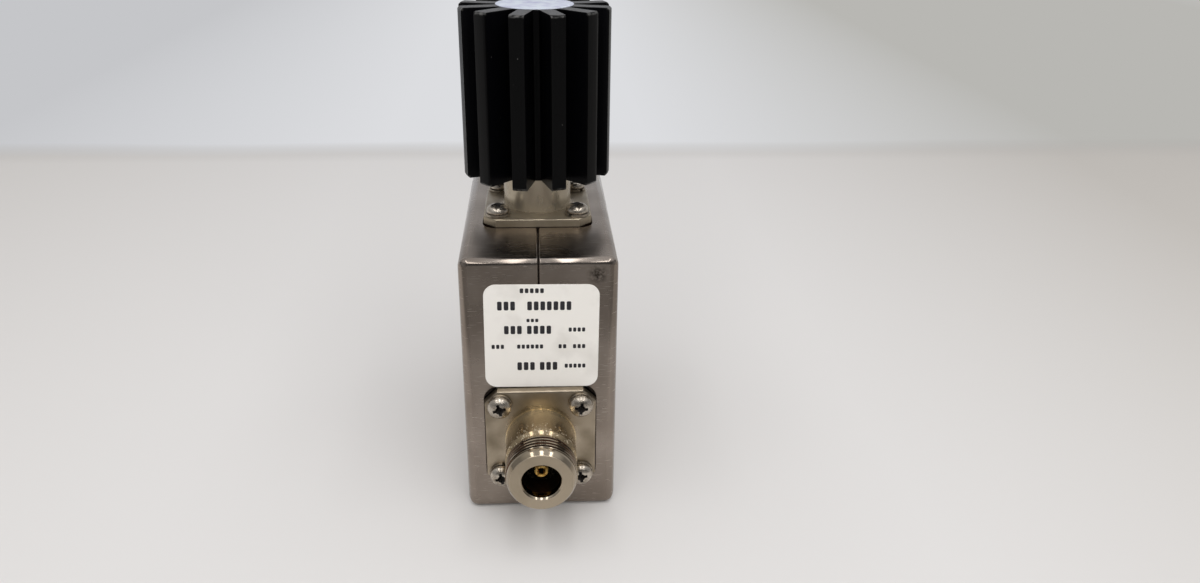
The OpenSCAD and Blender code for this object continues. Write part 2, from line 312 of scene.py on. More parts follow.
def fitted(piece: bpy.types.Object, tool: bpy.types.Object,
           how: Boolean = Boolean.CUT) -> bpy.types.Object:
    """Cuts a tool's shape out of a piece or welds it on, and uses up the tool.

    Args:
        piece: the object to work on.
        tool: the cutter, or the piece to weld on.
        how: cut or weld.

    Returns:
        The same piece.
    """
    worked(piece, "BOOLEAN", operation=how.value, object=tool, solver="EXACT", material_mode="TRANSFER")
    bpy.data.objects.remove(tool)
    return piece


def smoothed(piece: bpy.types.Object, angle: float) -> bpy.types.Object:
    """Shades a piece smooth and keeps its sharper edges crisp.

    Args:
        piece: the object to shade.
        angle: least angle of an edge that stays crisp, in degrees.

    Returns:
        The same piece.
    """
    only(piece)
    bpy.ops.object.shade_smooth_by_angle(angle=math.radians(angle))
    return piece


def softened(piece: bpy.types.Object, width: float, angle: float) -> bpy.types.Object:
    """Breaks the sharp edges of a piece.

    Args:
        piece: the object to finish.
        width: width of the broken edge.
        angle: least angle of an edge that is broken, in degrees.

    Returns:
        The same piece, smooth shaded.
    """
    smoothed(piece, angle)
    return worked(piece, "BEVEL", width=width, segments=2, limit_method="ANGLE",
                  angle_limit=math.radians(angle), use_clamp_overlap=True, harden_normals=True)


def set_down(piece: bpy.types.Object, slot: str, finish: bpy.types.Material, *nodes: str) -> None:
    """Turns a piece to metres in the row frame, gives it its finish and reports it.

    Args:
        piece: a piece modelled in millimetres at its place.
        slot: the record's material slot; not used.
        finish: the material, which takes the first place beside those of the piece's cutters.
        nodes: the solids that the piece stands for.
    """
    moved(piece, Matrix.Scale(MM, 4))
    if not piece.data.materials:
        piece.data.materials.append(finish)
    piece.data.materials[0] = finish
    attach(piece, "root")
    if nodes:
        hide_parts(*nodes)
    LOG.info("%s: %d faces, %s", piece.name, len(piece.data.polygons), finish.name)


# Finishes: a pair of lengths gives where a change begins and where it is complete

def linear(code: str) -> tuple[float, float, float, float]:
    """Turns an sRGB hex colour to a linear one.

    Args:
        code: six hex digits after a number sign.

    Returns:
        Red, green, blue and alpha.
    """
    parts = [int(code[i:i + 2], 16) / 255 for i in (1, 3, 5)]
    return (*(c / 12.92 if c <= 0.04045 else ((c + 0.055) / 1.055) ** 2.4 for c in parts), 1.0)


class Nodes:
    """A tree of shader nodes, built node by node."""

    def __init__(self, tree: bpy.types.NodeTree) -> None:
        """Starts with an empty tree."""
        self.tree = tree
        tree.nodes.clear()

    def add(self, kind: str, *values: Value, out: str | None = None,
            named: Mapping[str, Value] | None = None, **settings: str) -> bpy.types.NodeSocket | None:
        """Adds a node with its settings and links, and gives one of its outputs.

        Args:
            kind: the node's type, after the word ShaderNode.
            values: a number, vector, hex colour or socket for each open input in turn, or None to pass one.
            out: name of the wanted output, when it isn't the first open one.
            named: a value for inputs by name.
            settings: the node's own properties.

        Returns:
            The wanted output, or None from a node that has no output.
        """
        made = self.tree.nodes.new("ShaderNode" + kind)
        for name, value in settings.items():
            setattr(made, name, value)
        sockets = [socket for socket in made.inputs if socket.enabled][:len(values)]
        fed = list(zip(sockets, values, strict=True))
        fed += [(made.inputs[name], value) for name, value in (named or {}).items()]
        for socket, value in fed:
            if isinstance(value, bpy.types.NodeSocket):
                self.tree.links.new(value, socket)
            elif value is not None:
                socket.default_value = linear(value) if isinstance(value, str) else value
        if out:
            return made.outputs[out]
        return next((socket for socket in made.outputs if socket.enabled), None)


class Finish(Nodes):
    """The nodes of one material, from millimetre coordinates to the shader."""

    def __init__(self, name: str) -> None:
        """Starts the material and its coordinates in millimetres.

        Args:
            name: the finish's common name.
        """
        self.material = bpy.data.materials.new(name)
        self.material.use_nodes = True
        super().__init__(self.material.node_tree)
        place = self.add("TexCoord", out="Object")
        self.mm = self.add("Mapping", place, None, None, (1 / MM, 1 / MM, 1 / MM))
        self.x, self.y, self.z = self.add("SeparateXYZ", self.mm).node.outputs

    def grain(self, size: float, detail: float = 2, stretch: Place = (1, 1, 1),
              at: Place = (0, 0, 0)) -> bpy.types.NodeSocket:
        """Noise whose lumps have a real size.

        Args:
            size: size of a lump in millimetres.
            detail: octaves of finer noise.
            stretch: how much longer a lump is along each axis.
            at: shift of the pattern.

        Returns:
            The noise, from 0 to 1.
        """
        scale = tuple(1 / s for s in stretch)
        place = self.add("Mapping", self.mm, at, None, scale)
        return self.add("TexNoise", place, 1 / size, detail)

    def radius(self, across: bpy.types.NodeSocket, up: bpy.types.NodeSocket) -> bpy.types.NodeSocket:
        """Distance from an axis, from the two coordinates square to it."""
        return self.add("VectorMath", self.add("CombineXYZ", across, up), operation="LENGTH")

    def largest(self, vector: bpy.types.NodeSocket) -> bpy.types.NodeSocket:
        """The largest part of a vector."""
        x, y, z = self.add("SeparateXYZ", vector).node.outputs
        return self.add("Math", x, self.add("Math", y, z, operation="MAXIMUM"), operation="MAXIMUM")

    def bent(self) -> bpy.types.NodeSocket:
        """Gives 0 on faces square to an axis and 1 on the curves between them."""
        facing = self.add("VectorMath", self.add("NewGeometry", out="Normal"), operation="ABSOLUTE")
        return self.add("MapRange", self.largest(facing), 0.995, 0.95)

    def close(self, colour: Value, roughness: Value, height: bpy.types.NodeSocket, depth: float,
              **others: Value) -> bpy.types.Material:
        """Ends the material in its shader.

        Args:
            colour: base colour.
            roughness: roughness.
            height: height of the surface's relief, from 0 to 1.
            depth: depth of the relief in millimetres.
            others: other inputs of the shader, by name with underscores.

        Returns:
            The finished material.
        """
        relief = self.add("Bump", 1.0, depth * MM, None, height)
        named = {"Base Color": colour, "Roughness": roughness, "Normal": relief}
        named.update({name.replace("_", " "): value for name, value in others.items()})
        self.add("OutputMaterial", self.add("BsdfPrincipled", named=named))
        return self.material


@dataclass(frozen=True)
class SatinNickelSheet:
    """Drawn steel sheet, brushed and nickel plated."""

    clean: str = "#a1968c"
    worn: str = "#8a7f75"
    stain: str = "#3a332c"
    scratch: str = "#d8cfc2"
    # painted shade: near black for the sheet's cut edges and inner faces
    cut: str = "#1c1916"
    stain_place: Place = (12.7, -DEPTH / 2, 59.8)
    stain_reach: Point = (2.6, 0.6)
    shaded_skin: Point = (-0.66, -0.8)
    brush_line: float = 0.16
    scratch_width: float = 0.22

    def make(self) -> bpy.types.Material:
        """Builds the material.

        Returns:
            The finished material.
        """
        # to the eye a warm grey mirror that fine brushed lines blur, dulled and scratched by hands
        m = Finish("satin nickel plate on drawn sheet")
        facing = m.add("SeparateXYZ", m.add("NewGeometry", out="Normal"), out="Z")
        lying = m.add("MapRange", m.add("Math", facing, operation="ABSOLUTE"), 0.6, 0.9)
        # brushed lines a tenth of a millimetre apart, drawn at 0.16 mm to show: level on the upright faces,
        # front to back on the top
        lines = m.add("Mix", lying, m.grain(self.brush_line, 2, (60, 60, 1)),
                      m.grain(self.brush_line, 2, (1, 60, 60)))
        clouds = m.add("MapRange", m.grain(13, 3), 0.35, 0.68)
        colour = m.add("Mix", clouds, self.clean, self.worn, data_type="RGBA")
        fine = m.add("MapRange", lines, 0.3, 0.7, 0, 0.22)
        colour = m.add("Mix", fine, colour, self.worn, data_type="RGBA")
        # handling scratches, 1 to 3 mm long and a few hundredths wide, drawn at 0.06 mm to show
        upright = m.grain(self.scratch_width, 0, (9, 9, 0.6), (2, 5, 9))
        level = m.grain(self.scratch_width, 0, (26, 0.7, 9), (6, 1, 3))
        marks = m.add("Mix", lying, m.add("MapRange", upright, 0.74, 0.79),
                      m.add("MapRange", level, 0.72, 0.79))
        colour = m.add("Mix", m.add("Math", marks, 0.5, operation="MULTIPLY"), colour, self.scratch,
                       data_type="RGBA")
        # one old stain by the front corner, mottled at 0.7 mm
        away = m.add("VectorMath", m.mm, self.stain_place, operation="DISTANCE")
        spot = m.add("Math", m.add("MapRange", away, *self.stain_reach, 0, 0.9),
                     m.add("MapRange", m.grain(0.7, 2), 0.34, 0.6), operation="MULTIPLY")
        colour = m.add("Mix", spot, colour, self.stain, data_type="RGBA")
        # painted shade: below the plated skin, the cut edges and inner faces of the sheet, in the windows
        # and along the seam, are painted near black
        inwards = m.add("VectorMath", m.mm, (0, 0, HEIGHT / 2), operation="SUBTRACT")
        inwards = m.add("VectorMath", inwards, operation="ABSOLUTE")
        inwards = m.add("VectorMath", inwards, (WIDTH / 2, DEPTH / 2, HEIGHT / 2), operation="SUBTRACT")
        edge = m.add("MapRange", m.largest(inwards), *self.shaded_skin)
        colour = m.add("Mix", edge, colour, self.cut, data_type="RGBA")
        # greasy smears make it duller, and the bends were drawn bright
        smears = m.add("MapRange", m.grain(5, 2, (2.4, 2.4, 1), (7, 3, 1)), 0.3, 0.75, 0.24, 0.36)
        rough = m.add("Math", smears, m.add("Math", marks, 0.15, operation="MULTIPLY"), operation="ADD")
        bright = m.add("Math", m.bent(), 0.15, operation="MULTIPLY")
        rough = m.add("Math", rough, bright, operation="SUBTRACT")
        # the drawn faces wave over 17 mm, under the brushed lines
        wave = m.add("Math", m.grain(17, 1), 6.0, operation="MULTIPLY")
        height = m.add("Math", m.add("Math", lines, 0.35, operation="MULTIPLY"), wave, operation="ADD")
        return m.close(colour, rough, height, 0.012, Metallic=1.0)


@dataclass(frozen=True)
class TurnedNickel:
    """Turned brass, nickel plated, as the jacks and the load share it."""

    clean: str
    dull: str
    # near-black grime, also standing for painted shade in gaps, grooves and recesses
    grime_and_shade: str = "#1d130c"
    lapped: Point = (8.6, 9.4)
    relief: float = 0.004

    def plate(self, m: Finish, radius: bpy.types.NodeSocket, along: bpy.types.NodeSocket
              ) -> tuple[bpy.types.NodeSocket, bpy.types.NodeSocket, bpy.types.NodeSocket]:
        """Clouded plate with the rings of the lathe.

        Args:
            m: the material.
            radius: distance from the axis.
            along: distance along the axis.

        Returns:
            Its colour, roughness and rings.
        """
        # tool rings a tenth of a millimetre apart, drawn at 0.2 mm to show
        rings = m.add("TexNoise", m.add("CombineXYZ", radius, along), 5.0, 2)
        clouds = m.add("MapRange", m.grain(6, 3), 0.38, 0.7)
        colour = m.add("Mix", clouds, self.clean, self.dull, data_type="RGBA")
        # the flange is lapped flat and looks duller than what was turned
        lapped = m.add("MapRange", radius, *self.lapped, 0.2, 0.32)
        smears = m.add("MapRange", m.grain(3, 2), 0.3, 0.7, 0, 0.1)
        return colour, m.add("Math", lapped, smears, operation="ADD"), rings


@dataclass(frozen=True)
class LoadNickel(TurnedNickel):
    """Nickel plate on the load's body, round the upright axis."""

    clean: str = "#a09480"
    dull: str = "#857a68"
    # painted sheen: the lighter colour of the neck
    turned: str = "#d8ccb6"
    neck: Point = (8.3, 8.0)
    rim: Point = (9, 10)
    gap_shade: Point = (63.7, 63.56)

    def make(self) -> bpy.types.Material:
        """Builds the material.

        Returns:
            The finished material.
        """
        # to the eye a dull warm flange with brighter edges, round a neck that mirrors its surroundings,
        # painted lighter as a painted sheen
        m = Finish("nickel plate on turned brass upright")
        radius = m.radius(m.x, m.y)
        colour, rough, rings = self.plate(m, radius, m.z)
        # painted shade: a dark line of dust and shade is painted on the flange's side where it meets the
        # sheet
        dust_and_shade = m.add("MapRange", m.z, *self.gap_shade)
        colour = m.add("Mix", dust_and_shade, colour, self.grime_and_shade, data_type="RGBA")
        # painted sheen: the neck is painted lighter, for the brighter surroundings that it mirrors
        neck = m.add("MapRange", radius, *self.neck, 0, 0.55)
        colour = m.add("Mix", neck, colour, self.turned, data_type="RGBA")
        edge = m.add("Math", m.bent(), m.add("MapRange", radius, *self.rim), operation="MULTIPLY")
        rough = m.add("Math", rough, m.add("Math", edge, 0.14, operation="MULTIPLY"), operation="SUBTRACT")
        # a thin oxide film leaves it half matt, most of all under the painted dark line of dust and shade
        bright = m.add("MapRange", dust_and_shade, 0, 1, 0.68, 0.3)
        return m.close(colour, rough, rings, self.relief, Metallic=bright)


@dataclass(frozen=True)
class JackNickel(TurnedNickel):
    """Nickel plate on the jacks' bodies, round their level axis."""

    clean: str = "#aa9d8a"
    dull: str = "#8c806d"
    tarnish_sheen: str = "#d9c59f"
    brown: str = "#9c896a"
    rust: str = "#5f3826"
    scuff: str = "#e6dac2"
    nose: str = "#b9ab96"
    shade: str = "#2a2119"
    gap_shade: Point = (DEPTH / 2, DEPTH / 2 - 0.2)
    thread: Point = (44.6, 48.8)
    barrel: Point = (8.1, 7.96)
    sheen_to_brown: Point = (36, 41)
    scuffed: Point = (38, 41)
    groove: Point = (7.77, 7.66)
    socket: Point = (4.12, 4.06)
    collar: Point = (42.4, 42.6)
    collar_edge: Point = (8.1, 8.0)
    nose_face: Point = (50.62, 50.7)
    nose_bore: Point = (4.42, 4.5)
    filmed: Point = (35, 40)

    def soiled(self, m: Finish, radius: bpy.types.NodeSocket, along: bpy.types.NodeSocket
               ) -> tuple[bpy.types.NodeSocket, bpy.types.NodeSocket]:
        """Brown grime and painted shade in the thread and the relief before it.

        Args:
            m: the material.
            radius: distance from the axis.
            along: distance along the axis.

        Returns:
            Where the grime lies, and its colour.
        """
        first, last = self.thread
        cut = m.add("Math", m.add("MapRange", along, first - 0.9, first - 0.5),
                    m.add("MapRange", along, last, last - 0.1), operation="MULTIPLY")
        groove = m.add("Math", cut, m.add("MapRange", radius, *self.groove), operation="MULTIPLY")
        patches = m.add("MapRange", m.grain(2.2, 3, at=(3, 1, 4)), 0.3, 0.55, 0.8, 1)
        rusty = m.add("MapRange", m.grain(3.4, 2, at=(1, 7, 2)), 0.42, 0.62)
        return (m.add("Math", groove, patches, operation="MULTIPLY"),
                m.add("Mix", rusty, self.grime_and_shade, self.rust, data_type="RGBA"))

    def make(self) -> bpy.types.Material:
        """Builds the material.

        Returns:
            The finished material.
        """
        # to the eye a clear warm mirror on the barrel, browned and scuffed, with a dull lapped flange
        m = Finish("nickel plate on turned brass")
        radius = m.radius(m.x, m.add("Math", m.z, JACK_HEIGHT, operation="SUBTRACT"))
        along = m.add("Math", m.y, operation="ABSOLUTE")
        colour, rough, rings = self.plate(m, radius, along)
        # painted shade: a dark line of grime and shade is painted on the flange's side where it meets the
        # sheet
        colour = m.add("Mix", m.add("MapRange", along, *self.gap_shade), colour, self.grime_and_shade, data_type="RGBA")
        first, last = self.thread
        barrel = m.add("Math", m.add("MapRange", along, first, first - 0.8),
                       m.add("MapRange", radius, *self.barrel), operation="MULTIPLY")
        # painted sheen: the barrel's brown tarnish is painted lighter towards the flange, for its brighter
        # reflection there
        brown = m.add("Mix", m.add("MapRange", along, *self.sheen_to_brown), self.tarnish_sheen, self.brown,
                      data_type="RGBA")
        colour = m.add("Mix", m.add("Math", barrel, 0.85, operation="MULTIPLY"), colour, brown,
                       data_type="RGBA")
        # pits and scuffs of a spanner, a third of a millimetre across
        scuffs = m.add("Math", m.add("MapRange", m.grain(0.4, 1, (1, 2, 1)), 0.6, 0.66),
                       m.add("MapRange", along, *self.scuffed), operation="MULTIPLY")
        scuffs = m.add("Math", scuffs, barrel, operation="MULTIPLY")
        colour = m.add("Mix", m.add("Math", scuffs, 0.5, operation="MULTIPLY"), colour, self.scuff,
                       data_type="RGBA")
        # painted shade: the thread's grooves are painted dark brown, partly grime and rust
        groove_dirt_and_shade, soil = self.soiled(m, radius, along)
        colour = m.add("Mix", groove_dirt_and_shade, colour, soil, data_type="RGBA")
        # painted shade: the socket's inside is painted dark, as it sees little light
        socket = m.add("MapRange", radius, *self.socket, 0, 0.8)
        colour = m.add("Mix", socket, colour, self.shade, data_type="RGBA")
        face = m.add("Math", m.add("MapRange", along, *self.nose_face),
                     m.add("MapRange", radius, *self.nose_bore), operation="MULTIPLY")
        colour = m.add("Mix", m.add("Math", face, 0.6, operation="MULTIPLY"), colour, self.nose,
                       data_type="RGBA")
        rough = m.add("Mix", m.add("Math", barrel, 0.8, operation="MULTIPLY"), rough, 0.13)
        collar = m.add("Math", m.add("MapRange", along, *self.collar),
                       m.add("MapRange", radius, *self.collar_edge), operation="MULTIPLY")
        rough = m.add("Mix", collar, rough, 0.11)
        matt = m.add("Math", face, m.add("Math", groove_dirt_and_shade, scuffs, operation="MAXIMUM"), operation="MAXIMUM")
        rough = m.add("Math", rough, m.add("Math", matt, 0.22, operation="MULTIPLY"), operation="ADD")
        nose = m.add("MapRange", along, last - 0.1, last)
        tooled = m.add("Math", rings, m.add("MapRange", nose, 0, 1, 1, 0.25), operation="MULTIPLY")
        # a thin oxide film, most of all by the flange and in the scuffs
        film = m.add("Math", m.add("Math", barrel, groove_dirt_and_shade, operation="MAXIMUM"),
                     m.add("MapRange", along, *self.filmed, 0.12, 0.1), operation="MULTIPLY")
        film = m.add("Math", film, m.add("Math", scuffs, 0.4, operation="MULTIPLY"), operation="MAXIMUM")
        metallic = m.add("Math", 1.0, film, operation="SUBTRACT")
        return m.close(colour, rough, tooled, self.relief, Metallic=metallic)


@dataclass(frozen=True)
class BlackAnodised:
    """Sawn aluminium bar, anodised black."""

    middle: float
    reach: float
    radius: float
    dye: str = "#050507"
    outer_sheen: str = "#080808"
    slot: str = "#000000"
    metal: str = "#8b8986"
    sawn_and_lit: str = "#4f4e4e"
    slot_shade_reach: Point = (12, 8.7)

    def make(self) -> bpy.types.Material:
        """Builds the material.

        Returns:
            The finished material.
        """
        # to the eye a deep satin black whose corners and nicks show worn grey metal
        m = Finish("black anodised aluminium")
        radius = m.radius(m.x, m.y)
        saw = m.grain(0.35, 2, (1, 1, 120))
        rub = m.grain(1.1, 3)
        outer = m.add("MapRange", radius, self.radius - 0.7, self.radius - 0.1)
        # painted sheen: the fins' outer faces are painted a touch lighter
        colour = m.add("Mix", m.add("Math", outer, 0.8, operation="MULTIPLY"), self.dye, self.outer_sheen,
                       data_type="RGBA")
        # painted shade: the roots of the slots are painted black
        slot_shade = m.add("MapRange", radius, *self.slot_shade_reach, 0, 0.8)
        colour = m.add("Mix", slot_shade, colour, self.slot, data_type="RGBA")
        above = m.add("Math", m.z, self.middle, operation="SUBTRACT")
        end = m.add("Math", self.reach, m.add("Math", above, operation="ABSOLUTE"), operation="SUBTRACT")
        corner = m.add("Math", outer, m.add("MapRange", end, 0.7, 0.1), operation="MULTIPLY")
        corner = m.add("Math", corner, m.add("MapRange", rub, 0.4, 0.62), operation="MULTIPLY")
        # nicks through the dye, about a quarter of a millimetre across
        nicks = m.add("MapRange", m.grain(0.5, 1, (1, 1, 1.6), (4, 8, 1)), 0.81, 0.84)
        bare = m.add("Math", corner, nicks, operation="MAXIMUM")
        colour = m.add("Mix", m.add("Math", bare, 0.8, operation="MULTIPLY"), colour, self.metal,
                       data_type="RGBA")
        # the top end is painted lighter and uneven: partly a sawn end that took the dye unevenly, partly a
        # painted sheen of the light from above
        top = m.add("MapRange", above, self.reach - 0.15, self.reach - 0.02)
        uneven_lit_top = m.add("Math", top, m.add("MapRange", rub, 0.3, 0.7, 0.4, 0.7), operation="MULTIPLY")
        colour = m.add("Mix", uneven_lit_top, colour, self.sawn_and_lit, data_type="RGBA")
        rough = m.add("MapRange", saw, 0.3, 0.7, 0.28, 0.4)
        metallic = m.add("Math", bare, 0.9, operation="MULTIPLY")
        return m.close(colour, rough, saw, 0.02, Metallic=metallic, Specular_IOR_Level=0.12)


@dataclass(frozen=True)
class PlatedScrewSteel:
    """Cold-headed steel, nickel plated."""

    name: str = "nickel plate on screw steel"
    clean: str = "#c4bbae"
    dull: str = "#94897b"
    shine: float = 0.16

    def make(self) -> bpy.types.Material:
        """Builds the material.

        Returns:
            The finished material.
        """
        # to the eye a small bright head, a little uneven where it was struck
        m = Finish(self.name)
        clouds = m.add("MapRange", m.grain(1.4, 3), 0.35, 0.7)
        colour = m.add("Mix", clouds, self.clean, self.dull, data_type="RGBA")
        rough = m.add("MapRange", m.grain(0.8, 2), 0.3, 0.7, self.shine, self.shine + 0.16)
        return m.close(colour, rough, m.grain(0.2, 2), 0.006, Metallic=0.9)


@dataclass(frozen=True)
class PlainMetal:
    """A metal piece inside the body."""

    name: str
    colour: str
    dark: str
    roughness: float
    grain: float = 0.3

    def make(self) -> bpy.types.Material:
        """Builds the material.

        Returns:
            The finished material.
        """
        # to the eye a soft sheen drawn out along the lines of the tool or mill that made the piece
        m = Finish(self.name)
        lines = m.grain(self.grain, 2, (1, 1, 30))
        clouds = m.add("MapRange", m.grain(6, 3), 0.3, 0.75)
        colour = m.add("Mix", clouds, self.colour, self.dark, data_type="RGBA")
        rough = m.add("MapRange", lines, 0.3, 0.7, self.roughness - 0.06, self.roughness + 0.08)
        return m.close(colour, rough, lines, 0.006, Metallic=1.0)


@dataclass(frozen=True)
class GoldContact:
    """Gold plate on turned spring brass."""

    gold: str = "#ffd683"
    rubbed: str = "#efb95c"
    shade: str = "#1a1006"
    lip: Point = (0.9, 0.84)

    def make(self) -> bpy.types.Material:
        """Builds the material, dark inside the socket.

        Returns:
            The finished material.
        """
        # to the eye a warm yellow lip round a hole that swallows the light
        m = Finish("gold plate on spring brass")
        radius = m.radius(m.x, m.add("Math", m.z, JACK_HEIGHT, operation="SUBTRACT"))
        rings = m.grain(0.2, 2, (30, 1, 30))
        clouds = m.add("MapRange", m.grain(3, 3), 0.3, 0.75)
        colour = m.add("Mix", clouds, self.gold, self.rubbed, data_type="RGBA")
        colour = m.add("Mix", m.add("MapRange", radius, *self.lip), colour, self.shade, data_type="RGBA")
        rough = m.add("MapRange", rings, 0.3, 0.7, 0.2, 0.32)
        return m.close(colour, rough, rings, 0.006, Metallic=0.35)


@dataclass(frozen=True)
class MilledHousing:
    """Milled aluminium block."""

    metal: str = "#b9babc"
    shade: str = "#9c9da0"
    dust_and_shade: str = "#352c24"
    shaded_skin: Point = (28.6, 29.2)

    def make(self) -> bpy.types.Material:
        """Builds the material.

        Returns:
            The finished material.
        """
        # to the eye pale milled metal, its skin painted dark, brown and matt where the seam and windows
        # leave it open: dust and painted shade
        m = Finish("milled aluminium housing")
        lines = m.grain(0.3, 2, (30, 30, 1))
        clouds = m.add("MapRange", m.grain(6, 3), 0.3, 0.75)
        colour = m.add("Mix", clouds, self.metal, self.shade, data_type="RGBA")
        above = m.add("Math", m.z, HEIGHT / 2, operation="SUBTRACT")
        reach = m.add("Math", m.add("Math", m.y, operation="ABSOLUTE"),
                      m.add("Math", above, operation="ABSOLUTE"), operation="MAXIMUM")
        # painted shade: the housing's face in the seam and windows is painted dark, partly dust
        shaded_skin = m.add("MapRange", reach, *self.shaded_skin)
        colour = m.add("Mix", shaded_skin, colour, self.dust_and_shade, data_type="RGBA")
        rough = m.add("Math", m.add("MapRange", lines, 0.3, 0.7, 0.34, 0.46),
                      m.add("Math", shaded_skin, 0.4, operation="MULTIPLY"), operation="ADD")
        bare = m.add("MapRange", shaded_skin, 0, 1, 1, 0)
        return m.close(colour, rough, lines, 0.006, Metallic=bare)


@dataclass(frozen=True)
class PlainSolid:
    """A piece that isn't metal: ferrite, ceramic, plastic, ink, or the grime and painted shade of a recess.
    """

    name: str
    colour: str
    dark: str
    roughness: float
    grain: float = 0.25

    def make(self) -> bpy.types.Material:
        """Builds the material.

        Returns:
            The finished material.
        """
        # to the eye a fine speckle under a soft or glazed gloss
        m = Finish(self.name)
        speck = m.grain(self.grain, 2)
        colour = m.add("Mix", m.add("MapRange", speck, 0.3, 0.75), self.colour, self.dark, data_type="RGBA")
        rough = m.add("MapRange", m.grain(4, 2), 0.3, 0.7, self.roughness - 0.05, self.roughness + 0.08)
        return m.close(colour, rough, speck, 0.008, IOR=1.5)


@dataclass(frozen=True)
class LabelFilm:
    """Printed polyester label film with a matt coating."""

    name: str
    colour: str
    soiled: str
    patch: float = 7.0
    patch_low: float = 0.5

    def make(self) -> bpy.types.Material:
        """Builds the material.

        Returns:
            The finished material.
        """
        # to the eye an even soft tone with faint fibre, soiled a little by handling
        m = Finish(self.name)
        soil = m.add("MapRange", m.grain(self.patch, 3), self.patch_low, 0.85)
        colour = m.add("Mix", soil, self.colour, self.soiled, data_type="RGBA")
        fibre = m.grain(0.3, 3)
        rough = m.add("MapRange", fibre, 0.3, 0.7, 0.42, 0.55)
        return m.close(colour, rough, fibre, 0.006, IOR=1.46)


# Places: the local Z points out of the body

def seat_place(seat: Seat) -> Matrix:
    """Where a flange sits, on the face of the housing.

    Args:
        seat: one of the three faces.

    Returns:
        The move from the local frame to the row frame.
    """
    if seat is Seat.LOAD:
        return Matrix.Translation((0, 0, HOUSING_TOP))
    place = Matrix.Translation((0, -HOUSING_FACE, JACK_HEIGHT)) @ Matrix.Rotation(math.radians(90), 4, "X")
    return place if seat is Seat.INPUT else Matrix.Rotation(math.pi, 4, "Z") @ place


def side_place(side: Side) -> Matrix:
    """The middle of a broad side, from the middle plane."""
    turn = spun(90 * side.value) @ Matrix.Rotation(math.radians(90), 4, "X")
    return Matrix.Translation((0, 0, HEIGHT / 2)) @ turn


def square_of(reach: float) -> list[Matrix]:
    """The moves to the four corners of a square that reaches so far from its middle."""
    return [Matrix.Translation((i * reach, j * reach, 0)) for i in (-1, 1) for j in (-1, 1)]


# Sub-assemblies

@dataclass
class Shield:
    """Two drawn halves round the body, meeting at the middle plane."""

    sheet: float = 1.2
    bend: float = 2.2
    corner: float = 1.5
    seam: float = 0.25
    rim_roll: float = 0.4
    window: float = 25.5
    window_corner: float = 3.3
    screw_reach: float = 26
    screw_hole: float = 1.43
    sink_radius: float = 2.73
    sink_depth: float = 1.3
    mount_reach: float = 20.65
    mount_radius: float = 2.3
    broken_edge: float = 0.1

    def shell(self, side: Side) -> bpy.types.Object:
        """Models one half as an open pan of sheet.

        Args:
            side: which half.

        Returns:
            The pan, before its cuts.
        """
        outer = side.value * WIDTH / 2
        inner = side.value * self.seam / 2
        pan = block(f"shield_{side.name.lower()}_half", (min(outer, inner), -DEPTH / 2, 0),
                    (max(outer, inner), DEPTH / 2, HEIGHT))
        with editing(pan):
            pick(pan, lambda f: f.normal.x * side.value < -0.9)
            bpy.ops.mesh.delete(type="FACE")
        # the bends beside the broad side are wider than those at the four corners
        weights = pan.data.attributes.new("bevel_weight_edge", "FLOAT", "EDGE")
        for edge in pan.data.edges:
            a, b = (pan.data.vertices[v].co for v in edge.vertices)
            if abs(a.x - b.x) > 1:
                weights.data[edge.index].value = self.corner / self.bend
            elif abs(a.x - outer) < 0.01:
                weights.data[edge.index].value = 1.0
        worked(pan, "BEVEL", limit_method="WEIGHT", width=self.bend, segments=8)
        worked(pan, "SOLIDIFY", thickness=self.sheet, offset=-1, use_even_offset=True)
        return self.rolled(pan, inner)

    def rolled(self, pan: bpy.types.Object, seam_x: float) -> bpy.types.Object:
        """Rolls over the outer edge of the rim along the seam.

        Args:
            pan: the half to work on.
            seam_x: where its rim ends.

        Returns:
            The same half.
        """
        half_y = DEPTH / 2
        half_z = HEIGHT / 2

        def outside(edge: bmesh.types.BMEdge) -> bool:
            """True for an edge of the rim on the outer skin."""
            reach = [max(abs(v.co.y) / half_y, abs(v.co.z - half_z) / half_z) for v in edge.verts]
            return all(abs(v.co.x - seam_x) < 0.01 for v in edge.verts) and min(reach) > 0.975

        with editing(pan, "EDGE"):
            pick(pan, outside, "EDGE")
            bpy.ops.mesh.bevel(offset=self.rim_roll, segments=4)
        return pan

    def window_cutter(self, seat: Seat) -> bpy.types.Object:
        """Cutter for the window round a flange.

        Args:
            seat: which flange.

        Returns:
            A block with rounded corners, in the row frame.
        """
        half = self.window / 2
        tool = block("window", (-half, -half, -1), (half, half, 3))
        return moved(corners_cut(tool, self.window_corner, 8), seat_place(seat))

    def side_cutters(self, side: Side) -> list[bpy.types.Object]:
        """Cutters for the countersinks, and for the mounting holes on the right.

        Args:
            side: which half.

        Returns:
            The cutters, in the row frame.
        """
        face = WIDTH / 2
        tools = []
        for screw, mount in zip(square_of(self.screw_reach), square_of(self.mount_reach)):
            sink = turned("sink", [
                (self.screw_hole, face - 3), (self.screw_hole, face - self.sink_depth),
                (self.sink_radius, face), (self.sink_radius, face + 1)], 40)
            tools.append(moved(sink, side_place(side) @ screw))
            if side is Side.RIGHT:
                drill = turned("drill", [(self.mount_radius, face - 3), (self.mount_radius, face + 1)], 40)
                tools.append(moved(drill, side_place(side) @ mount))
        return tools

    def dress(self) -> None:
        """Builds both halves with their windows and holes, in satin nickel."""
        nickel = SatinNickelSheet().make()
        for side in Side:
            pan = self.shell(side)
            for tool in (self.window_cutter(seat) for seat in Seat):
                fitted(pan, tool)
            for tool in self.side_cutters(side):
                fitted(pan, tool)
            softened(pan, self.broken_edge, 40)
            set_down(pan, "nickel_sheet", nickel, f"shield_{side.name.lower()}")


